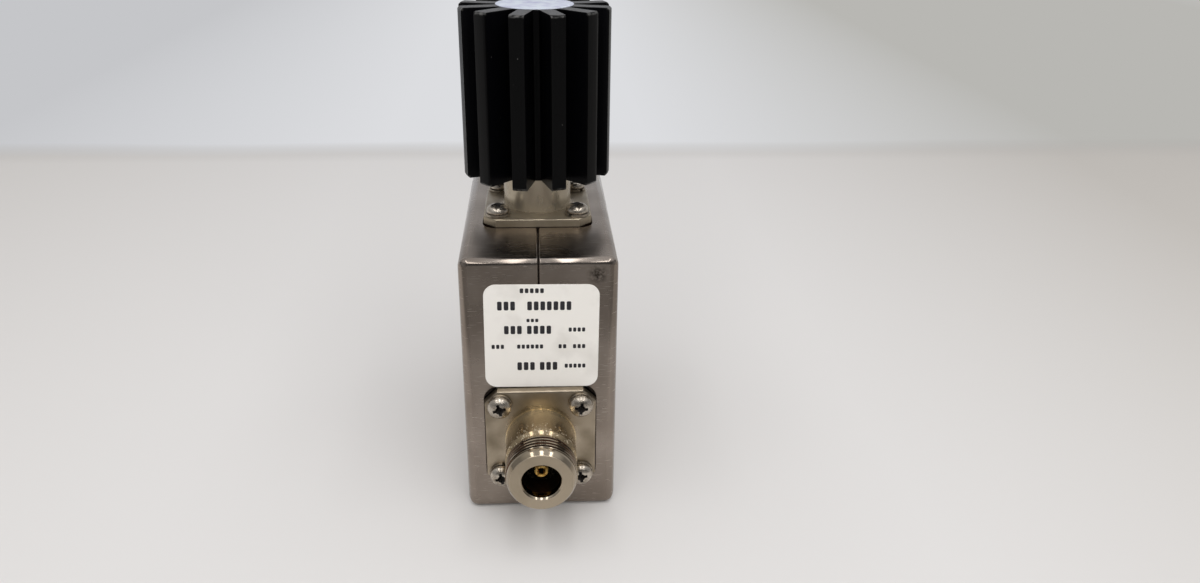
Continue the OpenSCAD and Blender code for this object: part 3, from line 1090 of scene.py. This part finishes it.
@dataclass
class Flange:
    """Square connector flange with chamfered corners and four screw holes."""

    width: float = 25
    thickness: float = 3.25
    chamfer: float = 2.9
    edge_roll: float = 0.48
    pitch: float = 18.26
    hole_radius: float = 1.6

    def spots(self) -> list[Matrix]:
        """The moves to the four screws."""
        return square_of(self.pitch / 2)

    def plate(self) -> bpy.types.Object:
        """Models the plate on the local Z axis.

        Returns:
            The plate without its bore.
        """
        half = self.width / 2
        plate = block("flange", (-half, -half, 0), (half, half, self.thickness))
        corners_cut(plate, self.chamfer, 1)
        with editing(plate):
            pick(plate, lambda f: f.normal.z > 0.9)
            bpy.ops.mesh.bevel(offset=self.edge_roll, segments=4, affect="EDGES")
        for spot in self.spots():
            drill = turned("drill", [(self.hole_radius, -1), (self.hole_radius, self.thickness + 1)], 32)
            fitted(plate, moved(drill, spot))
        return plate


@dataclass
class Jack:
    """Threaded coaxial jack on its flange, with its socket contact."""

    flange: Flange
    barrel_radius: float = 7.9
    barrel_end: float = 12.2
    relief_radius: float = 7.3
    relief: Point = (12.75, 13.75)
    thread_radius: float = 7.8
    thread: Point = (14.25, 18.35)
    pitch: float = 1.058
    thread_depth: float = 0.6
    groove_start: float = 13.4
    groove_over: float = 0.12
    groove_steps: int = 80
    groove_floor: float = 0.06
    flank: float = 0.45
    nose_radius: float = 7.55
    nose_face_radius: float = 6.8
    nose: float = 20.25
    # how far the nose falls back from its radius at each height of its round
    nose_round: tuple[Point, ...] = ((0, 19.02), (0.06, 19.2), (0.22, 19.5), (0.45, 19.85))
    bead_radius: float = 4.2
    bead_seat: float = 6.5
    line_radius: float = 3.5
    socket_radius: float = 4.06
    socket_floor: float = 11.25
    contact_radius: float = 1.52
    hole_radius: float = 0.83
    hole_floor: float = 10.4
    spring_slot: float = 0.26
    tail_slot: float = 1.06
    tail: Point = (-8.5, -5.5)

    def groove(self) -> bpy.types.Object:
        """Winds the thread's groove as a cutter.

        Returns:
            A closed ribbon of trapezium section along the helix.
        """
        root = self.thread_radius - self.thread_depth
        crest = self.thread_radius + self.groove_over
        turns = (self.thread[1] + 0.1 - self.groove_start) / self.pitch
        wide = self.groove_floor + (crest - root) * self.flank
        bpy.ops.object.select_all(action="DESELECT")
        bpy.ops.mesh.primitive_plane_add(size=1, location=(0, 0, 0), rotation=(math.radians(90), 0, 0))
        piece = placed_blank("thread_groove")
        with editing(piece, "VERT"):
            for start, radius, half in ((-0.5, root, self.groove_floor), (0.5, crest, wide)):
                pick(piece, lambda v: abs(v.co.x - start) < 0.01, "VERT")
                bpy.ops.transform.resize(value=(1, 1, 2 * half), center_override=(0, 0, 0))
                bpy.ops.transform.translate(value=(radius - start, 0, self.groove_start))
            bpy.ops.mesh.select_all(action="SELECT")
            bpy.ops.mesh.delete(type="ONLY_FACE")
        steps = round(self.groove_steps * turns)
        worked(piece, "SCREW", axis="Z", angle=2 * math.pi * turns, screw_offset=self.pitch * turns,
               steps=steps, render_steps=steps, use_smooth_shade=False)
        with editing(piece, "EDGE"):
            bpy.ops.mesh.select_all(action="SELECT")
            bpy.ops.mesh.fill_holes(sides=8)
            bpy.ops.mesh.normals_make_consistent(inside=False)
        return piece

    def body(self) -> bpy.types.Object:
        """Models the body on the local Z axis.

        Returns:
            The body with its bore, thread and edges.
        """
        barrel, crest, nose = self.barrel_radius, self.thread_radius, self.nose_radius
        start, end = self.thread
        bar = turned("barrel", [
            (barrel, self.flange.thickness / 2), (barrel, self.barrel_end - 0.15),
            (barrel - 0.1, self.barrel_end), (self.relief_radius, self.relief[0]),
            (self.relief_radius, self.relief[1]), (crest - 0.05, start - 0.05), (crest, start),
            (crest, end - 0.08), (crest - 0.08, end), (nose + 0.02, end), (nose, end + 0.06),
            *((nose - back, height) for back, height in self.nose_round),
            (self.nose_face_radius + 0.1, self.nose - 0.09), (self.nose_face_radius, self.nose)], 128)
        body = fitted(self.flange.plate(), bar, Boolean.WELD)
        fitted(body, self.groove())
        bore = turned("bore", [
            (self.bead_radius, -1), (self.bead_radius, self.bead_seat), (self.line_radius, self.bead_seat),
            (self.line_radius, self.socket_floor), (self.socket_radius, self.socket_floor),
            (self.socket_radius, 19.8), (4.1, 19.9), (4.34, 20.14), (4.46, self.nose),
            (4.46, self.nose + 1)])
        return smoothed(fitted(body, bore), 24)

    def contact(self) -> bpy.types.Object:
        """Models the socket contact on the local Z axis.

        Returns:
            The contact with its hole, spring slots and tail slot.
        """
        end, seat = self.tail
        pin = turned("contact", [
            (self.contact_radius, end), (self.contact_radius, 15.8), (1.47, 16.0), (1.36, 16.17),
            (1.2, 16.25), (1.04, 16.2), (0.92, 16.04), (0.84, 15.7), (self.hole_radius, 15.5),
            (self.hole_radius, self.hole_floor), (0.2, self.hole_floor - 0.2)], 64)
        wide = self.spring_slot / 2
        for angle in (45, 135):
            slot = block("slot", (-3, -wide, self.socket_floor), (3, wide, 17))
            fitted(pin, moved(slot, spun(angle)))
        wide = self.tail_slot / 2
        fitted(pin, block("slot", (-wide, -3, end - 1), (wide, 3, seat)))
        return smoothed(pin, 40)

    def dress(self) -> None:
        """Builds the body and the contact once and sets a copy of each on both end faces."""
        parts = (("body", self.body(), "nickel_turned", JackNickel().make()),
                 ("contact", self.contact(), "gold_contact", GoldContact().make()))
        for kind, part, slot, finish in parts:
            for seat in (Seat.INPUT, Seat.OUTPUT):
                piece = copied(part, f"{seat.value}_{kind}_turned", seat_place(seat))
                set_down(piece, slot, finish, f"{seat.value}_jack_{kind}")
            bpy.data.objects.remove(part)


@dataclass
class Load:
    """Body of the dummy load: flange, neck and the spigot inside the heat sink."""

    flange: Flange
    neck_start: float = 1.6
    neck_radius: float = 7.94
    neck_top: float = 11.25
    spigot_radius: float = 5
    spigot_top: float = 33.25
    bead_radius: float = 4.2
    bead_seat: float = 8
    line_radius: float = 3.5
    line_end: float = 30.25
    blind_radius: float = 2.23
    blind_end: float = 32.25

    def dress(self) -> None:
        """Builds the body with its stepped bore on the top face."""
        neck = turned("neck", [
            (self.neck_radius, self.neck_start), (self.neck_radius, self.neck_top - 0.2),
            (self.neck_radius - 0.2, self.neck_top), (self.spigot_radius, self.neck_top),
            (self.spigot_radius, self.spigot_top - 0.4), (self.spigot_radius - 0.4, self.spigot_top)], 128)
        body = fitted(self.flange.plate(), neck, Boolean.WELD)
        bore = turned("bore", [
            (self.bead_radius, -1), (self.bead_radius, self.bead_seat), (self.line_radius, self.bead_seat),
            (self.line_radius, self.line_end), (self.blind_radius, self.line_end),
            (self.blind_radius, self.blind_end)], 64)
        smoothed(fitted(body, bore), 30)
        moved(body, seat_place(Seat.LOAD))
        body.name = "load_body_turned"
        set_down(body, "nickel_turned", LoadNickel().make(), "load_body")


@dataclass
class HeatSink:
    """Round bar slotted into twelve parallel-sided fins."""

    radius: float = 17.1
    base: float = 73.5
    height: float = 38
    core_radius: float = 8.8
    fin: float = 3.25
    fins: int = 12
    rim: float = 0.45
    turn: float = 1.7
    bore: float = 5.03
    bore_depth: float = 22
    broken_edge: float = 0.16

    def slots(self) -> bpy.types.Object:
        """Models one wedge between two fins and spins copies of it round the bar.

        Returns:
            All the wedges as one cutter.
        """
        half_angle = math.pi / self.fins
        edge_x = self.fin / 2 * math.sin(half_angle)
        edge_y = self.fin / 2 * math.cos(half_angle)
        inner, outer = self.core_radius, self.radius + 2
        wedge = block("slots", (inner, -0.5, self.base - 1), (outer, 0.5, self.base + self.height + 1))
        with editing(wedge, "VERT"):
            for radius in (inner, outer):
                width = 2 * ((radius - edge_x) * math.tan(half_angle) - edge_y)
                pick(wedge, lambda v: abs(v.co.x - radius) < 0.01, "VERT")
                bpy.ops.transform.resize(value=(1, width, 1), center_override=(radius, 0, 0))
        moved(wedge, spun(self.turn))
        with editing(wedge):
            bpy.ops.mesh.select_all(action="SELECT")
            bpy.ops.mesh.spin(
                steps=self.fins, angle=2 * math.pi, dupli=True, center=(0, 0, 0), axis=(0, 0, 1))
            close_up()
        return wedge

    def dress(self) -> None:
        """Builds the slotted bar with its bore and broken edges, in black."""
        top = self.base + self.height
        inset = self.radius - self.rim
        bar = turned("heat_sink_bar", [
            (inset, self.base), (self.radius, self.base + self.rim), (self.radius, top - self.rim),
            (inset, top)], 180)
        fitted(bar, self.slots())
        bore = turned("bore", [(self.bore, self.base - 1), (self.bore, self.base + self.bore_depth)], 64)
        fitted(bar, bore)
        softened(bar, self.broken_edge, 30)
        black = BlackAnodised(self.base + self.height / 2, self.height / 2, self.radius).make()
        set_down(bar, "black_anodised", black, "heat_sink")


@dataclass
class Fasteners:
    """Pan-head screws with split washers on the flanges, and countersunk ones in the broad sides."""

    flange: Flange
    shield: Shield
    steel: bpy.types.Material
    spring: bpy.types.Material
    grime_and_shade: bpy.types.Material
    head_radius: float = 2.65
    head_height: float = 1.9
    shank_radius: float = 1.4
    shank_end: float = -4.5
    # width over the wings of a recess, and its depth
    pan_recess: Point = (3.7, 1.5)
    washer_radius: float = 2.85
    washer_bore: float = 1.45
    washer: float = 0.7
    wire: float = 0.56
    split: float = 16
    rise: float = 0.14
    side_head_radius: float = 2.66
    side_head_depth: float = 1.3
    side_length: float = 10
    side_recess: Point = (3.4, 1.2)
    # how much a wing's length and thickness shrink towards its floor
    wing_taper: Point = (0.42, 0.55)
    # the first piece's turn and the step to the next, in degrees
    split_turn: Point = (70, 77)
    side_turn: Point = (17, 31)
    # how far the head falls back from its radius at each height over the washer
    crown: tuple[Point, ...] = (
        (0.25, 0), (0.06, 0.1), (0, 0.28), (0.02, 0.62), (0.14, 0.98), (0.42, 1.32), (0.85, 1.6),
        (1.4, 1.79), (2.0, 1.88))
    # the turn of each screw's recess, in degrees
    turns: tuple[tuple[Seat, tuple[float, ...]], ...] = (
        (Seat.INPUT, (12, 14, 8, -6)), (Seat.OUTPUT, (31, 5, -20, 40)), (Seat.LOAD, (10, 38, -8, 22)))

    def recess(self, top: float, across: float, depth: float) -> bpy.types.Object:
        """Cutter for a cross recess: two tapered blades and the cone between them.

        Args:
            top: height of the head's top.
            across: width over the wings.
            depth: depth of the recess.

        Returns:
            The cutter on the local Z axis, which leaves its near-black finish in the recess: grime and
            painted shade.
        """
        blades = []
        reach, wide = across / 2, across / 9
        for angle in (0, 90):
            blade = block("blade", (-reach, -wide, top - depth), (reach, wide, top + 0.5))
            with editing(blade):
                pick(blade, lambda f: f.normal.z < -0.9)
                bpy.ops.transform.resize(value=(*self.wing_taper, 1), center_override=(0, 0, top - depth))
            blades.append(moved(blade, spun(angle)))
        cross = fitted(blades[0], blades[1], Boolean.WELD)
        cone = turned("cone", [(0.2, top - depth * 1.15), (across * 0.3, top + 0.4)], 24)
        fitted(cross, cone, Boolean.WELD)
        # painted shade: the recess faces take the near-black finish
        cross.data.materials.clear()
        cross.data.materials.append(self.grime_and_shade)
        return cross

    def pan_screw(self) -> bpy.types.Object:
        """Models a pan-head screw on the local Z axis, over its washer.

        Returns:
            The screw.
        """
        seat = self.flange.thickness + self.washer
        top = seat + self.head_height
        screw = turned("pan_screw", [
            (self.shank_radius - 0.3, self.shank_end), (self.shank_radius, self.shank_end + 0.3),
            (self.shank_radius, seat), *((self.head_radius - back, seat + up) for back, up in self.crown),
            (0.2, top)], 48)
        screw.data.materials.append(self.steel)
        fitted(screw, self.recess(top, *self.pan_recess))
        return softened(screw, 0.05, 42)

    def split_washer(self) -> bpy.types.Object:
        """Models a split spring washer on the local Z axis.

        Returns:
            The washer, its ends a little apart in height.
        """
        low = self.flange.thickness
        high = low + self.wire
        wire = block("split_washer", (self.washer_bore, -0.02, low), (self.washer_radius, 0.02, high))
        with editing(wire):
            pick(wire, lambda f: f.normal.y > 0.9)
            bpy.ops.mesh.spin(
                steps=40, angle=math.radians(360 - self.split), center=(0, 0, 0), axis=(0, 0, 1))
        with editing(wire, "VERT"):
            close_up()
        for vertex in wire.data.vertices:
            around = math.atan2(vertex.co.y, vertex.co.x) % (2 * math.pi)
            vertex.co.z += self.rise * around / (2 * math.pi)
        return softened(wire, 0.06, 50)

    def side_screw(self) -> bpy.types.Object:
        """Models a countersunk screw on the local Z axis of a side.

        Returns:
            The screw, its head flush with the shield.
        """
        face = WIDTH / 2
        end = face - self.side_length
        screw = turned("side_screw", [
            (self.shank_radius - 0.2, end), (self.shank_radius, end + 0.3),
            (self.shank_radius, face - self.side_head_depth), (self.side_head_radius, face - 0.06),
            (self.side_head_radius - 0.06, face), (0.3, face)], 48)
        screw.data.materials.append(self.steel)
        fitted(screw, self.recess(face, *self.side_recess))
        return softened(screw, 0.05, 38)

    def dress(self) -> None:
        """Builds each fastener once and sets its copies at their own turns."""
        pan = self.pan_screw()
        washer = self.split_washer()
        first, step = self.split_turn
        for seat, turns in self.turns:
            for i, spot in enumerate(self.flange.spots()):
                place = seat_place(seat) @ spot
                screw = copied(pan, f"{seat.value}_screw_{i}", place @ spun(turns[i]))
                set_down(screw, "screw_steel", self.steel, "flange_screws")
                ring = copied(washer, f"{seat.value}_washer_{i}", place @ spun(first + step * i))
                set_down(ring, "washer_steel", self.spring, "lock_washers")
        bpy.data.objects.remove(pan)
        bpy.data.objects.remove(washer)
        flush = self.side_screw()
        first, step = self.side_turn
        for side in Side:
            for i, spot in enumerate(square_of(self.shield.screw_reach)):
                place = side_place(side) @ spot @ spun(first + step * i)
                screw = copied(flush, f"{side.name.lower()}_side_screw_{i}", place)
                set_down(screw, "screw_steel", self.steel, "side_screws")
        bpy.data.objects.remove(flush)


@dataclass
class Labels:
    """The square label over the seam and the round one on the heat sink."""

    width: float = 25.1
    corner: float = 2.7
    thickness: float = 0.15
    shift: float = 0.5
    height: float = 45.2
    lean: float = 0.55
    crease: float = 0.45
    crease_depth: float = 0.05
    disc_radius: float = 8.7
    disc_height: float = 111.5
    # each row of printing: height of its middle, height and pitch of a block, then for each word its start
    # and the number of its blocks
    rows: tuple[Row, ...] = (
        (11.1, 1.1, 1.1, ((-4.7, 5),)),
        (7.5, 2.1, 1.42, ((-9.6, 3), (-3.1, 7))),
        (4.0, 0.8, 0.95, ((-3.3, 3),)),
        (1.7, 2.0, 1.42, ((-8.2, 3), (-3.2, 4))),
        (1.7, 1.0, 0.98, ((5.9, 4),)),
        (-2.4, 1.0, 1.0, ((-11.0, 3), (-5.4, 6), (3.7, 2), (6.9, 3))),
        (-7.3, 2.0, 1.42, ((-5.4, 3), (-0.4, 3))),
        (-7.3, 1.0, 0.98, ((5.1, 5),)),
    )

    def on_front(self) -> Matrix:
        """The front label's place: local Z towards the viewer, local Y up."""
        upright = Matrix.Rotation(math.radians(90), 4, "X")
        return Matrix.Translation((self.shift, -DEPTH / 2, self.height)) @ upright @ spun(-self.lean)

    def front(self) -> bpy.types.Object:
        """Models the front label, creased a little where it spans the seam.

        Returns:
            The label in the row frame.
        """
        half = self.width / 2
        film = block("front_label_film", (-half, -half, 0), (half, half, self.thickness))
        corners_cut(film, self.corner, 10)
        for x in (-self.crease, 0.0, self.crease):
            with editing(film):
                bpy.ops.mesh.select_all(action="SELECT")
                bpy.ops.mesh.bisect(plane_co=(x - self.shift, 0, 0), plane_no=(1, 0, 0))
        with editing(film, "VERT"):
            pick(film, lambda v: abs(v.co.x + self.shift) < 0.01 and v.co.z > 0.1, "VERT")
            bpy.ops.transform.translate(value=(0, 0, -self.crease_depth))
        return moved(softened(film, 0.03, 50), self.on_front())

    def print_rows(self) -> bpy.types.Object:
        """Models the label's printing as plain bars and dashes that spell nothing.

        Returns:
            The ink, a hundredth of a millimetre proud of the film.
        """
        bars = []
        low = self.thickness - 0.01
        high = self.thickness + 0.012
        for height, tall, cell, words in self.rows:
            for left in (start + i * cell for start, cells in words for i in range(cells)):
                right = left + cell * 0.7
                bar = block("bar", (left, height - tall / 2, low), (right, height + tall / 2, high))
                bars.append(corners_cut(bar, cell * 0.18, 2))
        return moved(joined(bars, "front_label_print"), self.on_front())

    def disc(self) -> bpy.types.Object:
        """Models the round label with a rolled rim.

        Returns:
            The label in the row frame.
        """
        low = self.disc_height
        top = low + self.thickness
        r = self.disc_radius
        disc = turned("load_label_film", [
            (r, low), (r, low + 0.08), (r - 0.05, low + 0.13), (r - 0.12, top), (0.4, top)])
        return smoothed(disc, 30)

    def dress(self) -> None:
        """Builds both labels and the printing."""
        white = LabelFilm("white label film", "#ece8e1", "#d6d1c9").make()
        blue = LabelFilm("pale blue label film", "#c6ccd6", "#9f9cbd", 2.2, 0.42).make()
        ink = PlainSolid("black printing ink", "#1c1a1e", "#2a272c", 0.5, 0.2).make()
        set_down(self.front(), "label_white", white, "front_label")
        set_down(self.print_rows(), "label_white", ink)
        set_down(self.disc(), "label_blue", blue, "load_label")


@dataclass
class Inside:
    """The stack inside the body, whose solids keep their own shapes."""

    nodes: Mapping[str, bpy.types.Object]

    def finishes(self) -> dict[str, bpy.types.Material]:
        """Makes a finish for each kind of inner piece.

        Returns:
            The materials, by a word of the solid's name.
        """
        kinds = {
            "housing": MilledHousing(),
            # dull grey, with the lines of the mill
            "cover": PlainMetal("plated yoke steel", "#8f9296", "#74777b", 0.4),
            # charcoal, ground and dry
            "magnet": PlainSolid("ground ferrite magnet", "#2f2f31", "#222224", 0.55),
            # warm grey rolled strip
            "shunt": PlainMetal("rolled shunt steel", "#b4ad9c", "#978f7d", 0.38),
            # cool grey, ground nearly bright
            "pole_piece": PlainMetal("ground pole steel", "#a7abb0", "#8b8f94", 0.26),
            # near black, with the soft gloss of a ground face
            "ferrite": PlainSolid("ground microwave ferrite", "#3a3637", "#2a2728", 0.35),
            # pale yellow plate on flat strip
            "centre_conductor": PlainMetal("gold plate on strip brass", "#d9b65c", "#c29c43", 0.24),
            # waxy white
            "insulator": PlainSolid("turned white fluoropolymer", "#f1efe8", "#e3e0d7", 0.5, 0.6),
            # cream with a glassy gloss
            "resistor": PlainSolid("glazed resistor ceramic", "#dcd8cf", "#cbc6bb", 0.2, 0.8),
            # deeper yellow plate on a turned pin
            "load_contact": PlainMetal("gold plate on load contact", "#e0b050", "#c08c34", 0.2, 0.2),
        }
        return {word: kind.make() for word, kind in kinds.items()}

    def dress(self) -> None:
        """Gives each solid that still shows its finish."""
        finishes = self.finishes()
        for name, solid in self.nodes.items():
            if solid.hide_render:
                continue
            finish = next(made for word, made in finishes.items() if word in name)
            solid.data.materials.clear()
            solid.data.materials.append(finish)
            LOG.info("%s: kept solid, %s", name, finish.name)


@dataclass
class Studio:
    """Floor, backdrop colour, lamps and the camera at the photograph's view."""

    lens: float = 28.97
    sensor: float = 36
    yaw: float = 0.0703
    pitch: float = 0.4261
    roll: float = 0.0145
    eye: Place = (-0.000148, -0.221157, 0.142025)
    floor: str = "#d9d6d3"
    fold_shade: str = "#b4b1ad"
    far_shade: str = "#c0bbb4"
    wall: str = "#dcdde0"
    wall_shade_left: str = "#c5c6c9"
    wall_shade_right: str = "#b8b7b3"
    # millimetres from the middle at which each change on the floor begins and is complete
    shaded_front: Point = (-60, -150)
    shaded_right: Point = (40, 130)
    far_shade_right: Point = (90, 280)
    far_shade_left: Point = (-90, -280)
    fold_line: Point = (252, 284)
    wall_line: Point = (276, 300)
    dark_right: Point = (60, 300)
    dark_left: Point = (-80, -300)
    beyond_view: Point = (700, 1200)
    past_front: Point = (-500, -1300)
    past_sides: Point = (700, 1300)
    # how far a direction has to lean back, up or aside before the room is pale there
    pale_behind: Point = (0.0, 0.5)
    pale_above: Point = (0.3, 0.75)
    pale_beside: Point = (0.5, 0.95)
    floor_size: float = 8
    below: float = 0.0002
    dim: float = 0.12
    # lamps, in metres and watts
    ceiling_x: Place = (-0.46, 0.02, 0.5)
    ceiling_y: float = -0.85
    ceiling_height: float = 1.0
    ceiling_size: Point = (0.15, 1.8)
    ceiling_power: float = 3.1
    fill_place: Place = (0.12, -0.85, 0.75)
    fill_size: Point = (1.5, 0.7)
    fill_power: float = 4.0
    fill_aim: Place = (0, 0, 0.05)

    def camera(self) -> None:
        """Sets the camera."""
        level = math.cos(self.pitch)
        forward = Vector((math.sin(self.yaw) * level, math.cos(self.yaw) * level, -math.sin(self.pitch)))
        right = Vector((math.cos(self.yaw), -math.sin(self.yaw), 0))
        up = right.cross(forward)
        side = math.cos(self.roll) * right + math.sin(self.roll) * up
        head = math.cos(self.roll) * up - math.sin(self.roll) * right
        data = bpy.data.cameras.new("camera")
        data.lens = self.lens
        data.sensor_width = self.sensor
        data.sensor_fit = "HORIZONTAL"
        data.clip_start = 0.01
        data.clip_end = 20
        camera = bpy.data.objects.new("camera", data)
        turn = Matrix((side, head, -forward)).transposed().to_4x4()
        camera.matrix_world = Matrix.Translation(self.eye) @ turn
        bpy.context.scene.collection.objects.link(camera)
        bpy.context.scene.camera = camera

    def lamp(self, name: str, at: Place, size: Point, power: float, aim: Place,
             mirrored: bool = True) -> None:
        """Adds a soft panel.

        Args:
            name: the lamp's name.
            at: its place in metres.
            size: its two sides in metres.
            power: its power in watts.
            aim: the point that it faces.
            mirrored: metal shows the panel itself.
        """
        data = bpy.data.lights.new(name, "AREA")
        data.shape = "RECTANGLE"
        data.size, data.size_y = size
        data.energy = power
        lamp = bpy.data.objects.new(name, data)
        lamp.location = at
        lamp.rotation_mode = "QUATERNION"
        lamp.rotation_quaternion = (Vector(aim) - Vector(at)).to_track_quat("-Z", "Y")
        lamp.visible_glossy = mirrored
        bpy.context.scene.collection.objects.link(lamp)

    def paper(self) -> bpy.types.Material:
        """Builds the floor's finish: pale paper that keeps the shadow, then an even wall colour far behind.

        Returns:
            The material. In a reflection its front part is dim, as it lies in the photographer's shade.
        """
        m = Finish("pale paper sweep")
        aside = m.add("Math", m.x, operation="ABSOLUTE")
        shade = m.add("Math", m.add("MapRange", m.y, *self.shaded_front, 1.0, 0.37),
                      m.add("MapRange", m.x, *self.shaded_right, 1.0, 0.7), operation="MINIMUM")
        level = m.add("Mix", m.add("LightPath", out="Is Glossy Ray"), 1.0, shade)
        # painted shade: the paper is painted greyer towards its ends, more on the right
        ends = m.add("Math", m.add("MapRange", m.x, *self.far_shade_right, 0, 0.9),
                     m.add("MapRange", m.x, *self.far_shade_left, 0, 0.45), operation="MAXIMUM")
        near = m.add("Mix", ends, self.floor, self.far_shade, data_type="RGBA")
        near = m.add("Mix", level, "#000000", near, data_type="RGBA")
        # painted shade: a darker band where the paper turns up to the wall
        fold_shade = m.add("MapRange", m.y, *self.fold_line, 0, 0.6)
        near = m.add("Mix", fold_shade, near, self.fold_shade, data_type="RGBA")
        lit = m.add("BsdfDiffuse", near)
        # painted shade: the wall is painted darker to both sides, and even again beyond the view
        hue = self.wall
        tones = ((m.x, self.dark_right, self.wall_shade_right), (m.x, self.dark_left, self.wall_shade_left),
                 (aside, self.beyond_view, self.wall))
        for value, line, tone in tones:
            hue = m.add("Mix", m.add("MapRange", value, *line), hue, tone, data_type="RGBA")
        # it begins along a line that wanders by 24 mm
        wander = m.add("Math", m.grain(260, 1), 24, operation="MULTIPLY")
        far = m.add("MapRange", m.add("Math", m.y, wander, operation="ADD"), *self.wall_line)
        # past the lamps' reach at the front and sides the paper takes the wall's even tone
        rest = m.add("Math", m.add("MapRange", m.y, *self.past_front),
                     m.add("MapRange", aside, *self.past_sides), operation="MAXIMUM")
        lit = m.add("MixShader", rest, lit, m.add("Emission", self.wall, level))
        m.add("OutputMaterial", m.add("MixShader", far, lit, m.add("Emission", hue)))
        return m.material

    def sweep(self) -> None:
        """Lays the floor."""
        bpy.ops.object.select_all(action="DESELECT")
        bpy.ops.mesh.primitive_plane_add(size=self.floor_size, location=(0, 0, -self.below))
        floor = placed_blank("floor")
        floor.data.materials.append(self.paper())

    def room(self) -> None:
        """Lights the room: pale behind the object and above it, dim behind the photographer."""
        world = bpy.data.worlds.new("studio")
        bpy.context.scene.world = world
        world.use_nodes = True
        m = Nodes(world.node_tree)
        x, y, z = m.add("SeparateXYZ", m.add("TexCoord", out="Generated")).node.outputs
        behind = m.add("MapRange", y, *self.pale_behind, self.dim, 0.8)
        above = m.add("MapRange", z, *self.pale_above, self.dim, 1.05)
        # the walls at the sides are pale too, the right one a little less
        aside = m.add("Math", m.add("Math", x, 0.12, operation="SUBTRACT"), operation="ABSOLUTE")
        beside = m.add("MapRange", aside, *self.pale_beside, self.dim, 0.5)
        walls = m.add("Math", behind, beside, operation="MAXIMUM")
        level = m.add("Math", walls, above, operation="MAXIMUM")
        seen = m.add("Mix", m.add("LightPath", out="Is Camera Ray"), level, 1.0)
        m.add("OutputWorld", m.add("Background", self.wall, seen))

    def dress(self) -> None:
        """Builds the whole studio."""
        self.camera()
        self.sweep()
        self.room()
        for i, x in enumerate(self.ceiling_x):
            self.lamp(f"ceiling_{i}", (x, self.ceiling_y, self.ceiling_height), self.ceiling_size,
                      self.ceiling_power, (x, self.ceiling_y, 0))
        self.lamp("front_fill", self.fill_place, self.fill_size, self.fill_power, self.fill_aim,
                  mirrored=False)
        bpy.context.scene.view_settings.view_transform = "Standard"


def main() -> None:
    """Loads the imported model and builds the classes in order."""
    logging.basicConfig(level=logging.INFO, format="%(message)s")
    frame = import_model()
    flange = Flange()
    shield = Shield()
    steel = PlatedScrewSteel().make()
    spring = PlatedScrewSteel("nickel plate on spring steel", "#b5ab9c", "#857b6d", 0.24).make()
    # painted shade: a near-black finish for the cross recesses, partly grime
    grime_and_shade = PlainSolid("grime in a cross recess", "#16120f", "#241d18", 0.6, 0.2).make()
    fasteners = Fasteners(flange, shield, steel, spring, grime_and_shade)
    for assembly in (shield, Jack(flange), Load(flange), HeatSink(), fasteners, Labels(),
                     Inside(frame["nodes"]), Studio()):
        LOG.info("%s", type(assembly).__name__)
        assembly.dress()


if __name__ == "__main__":
    main()
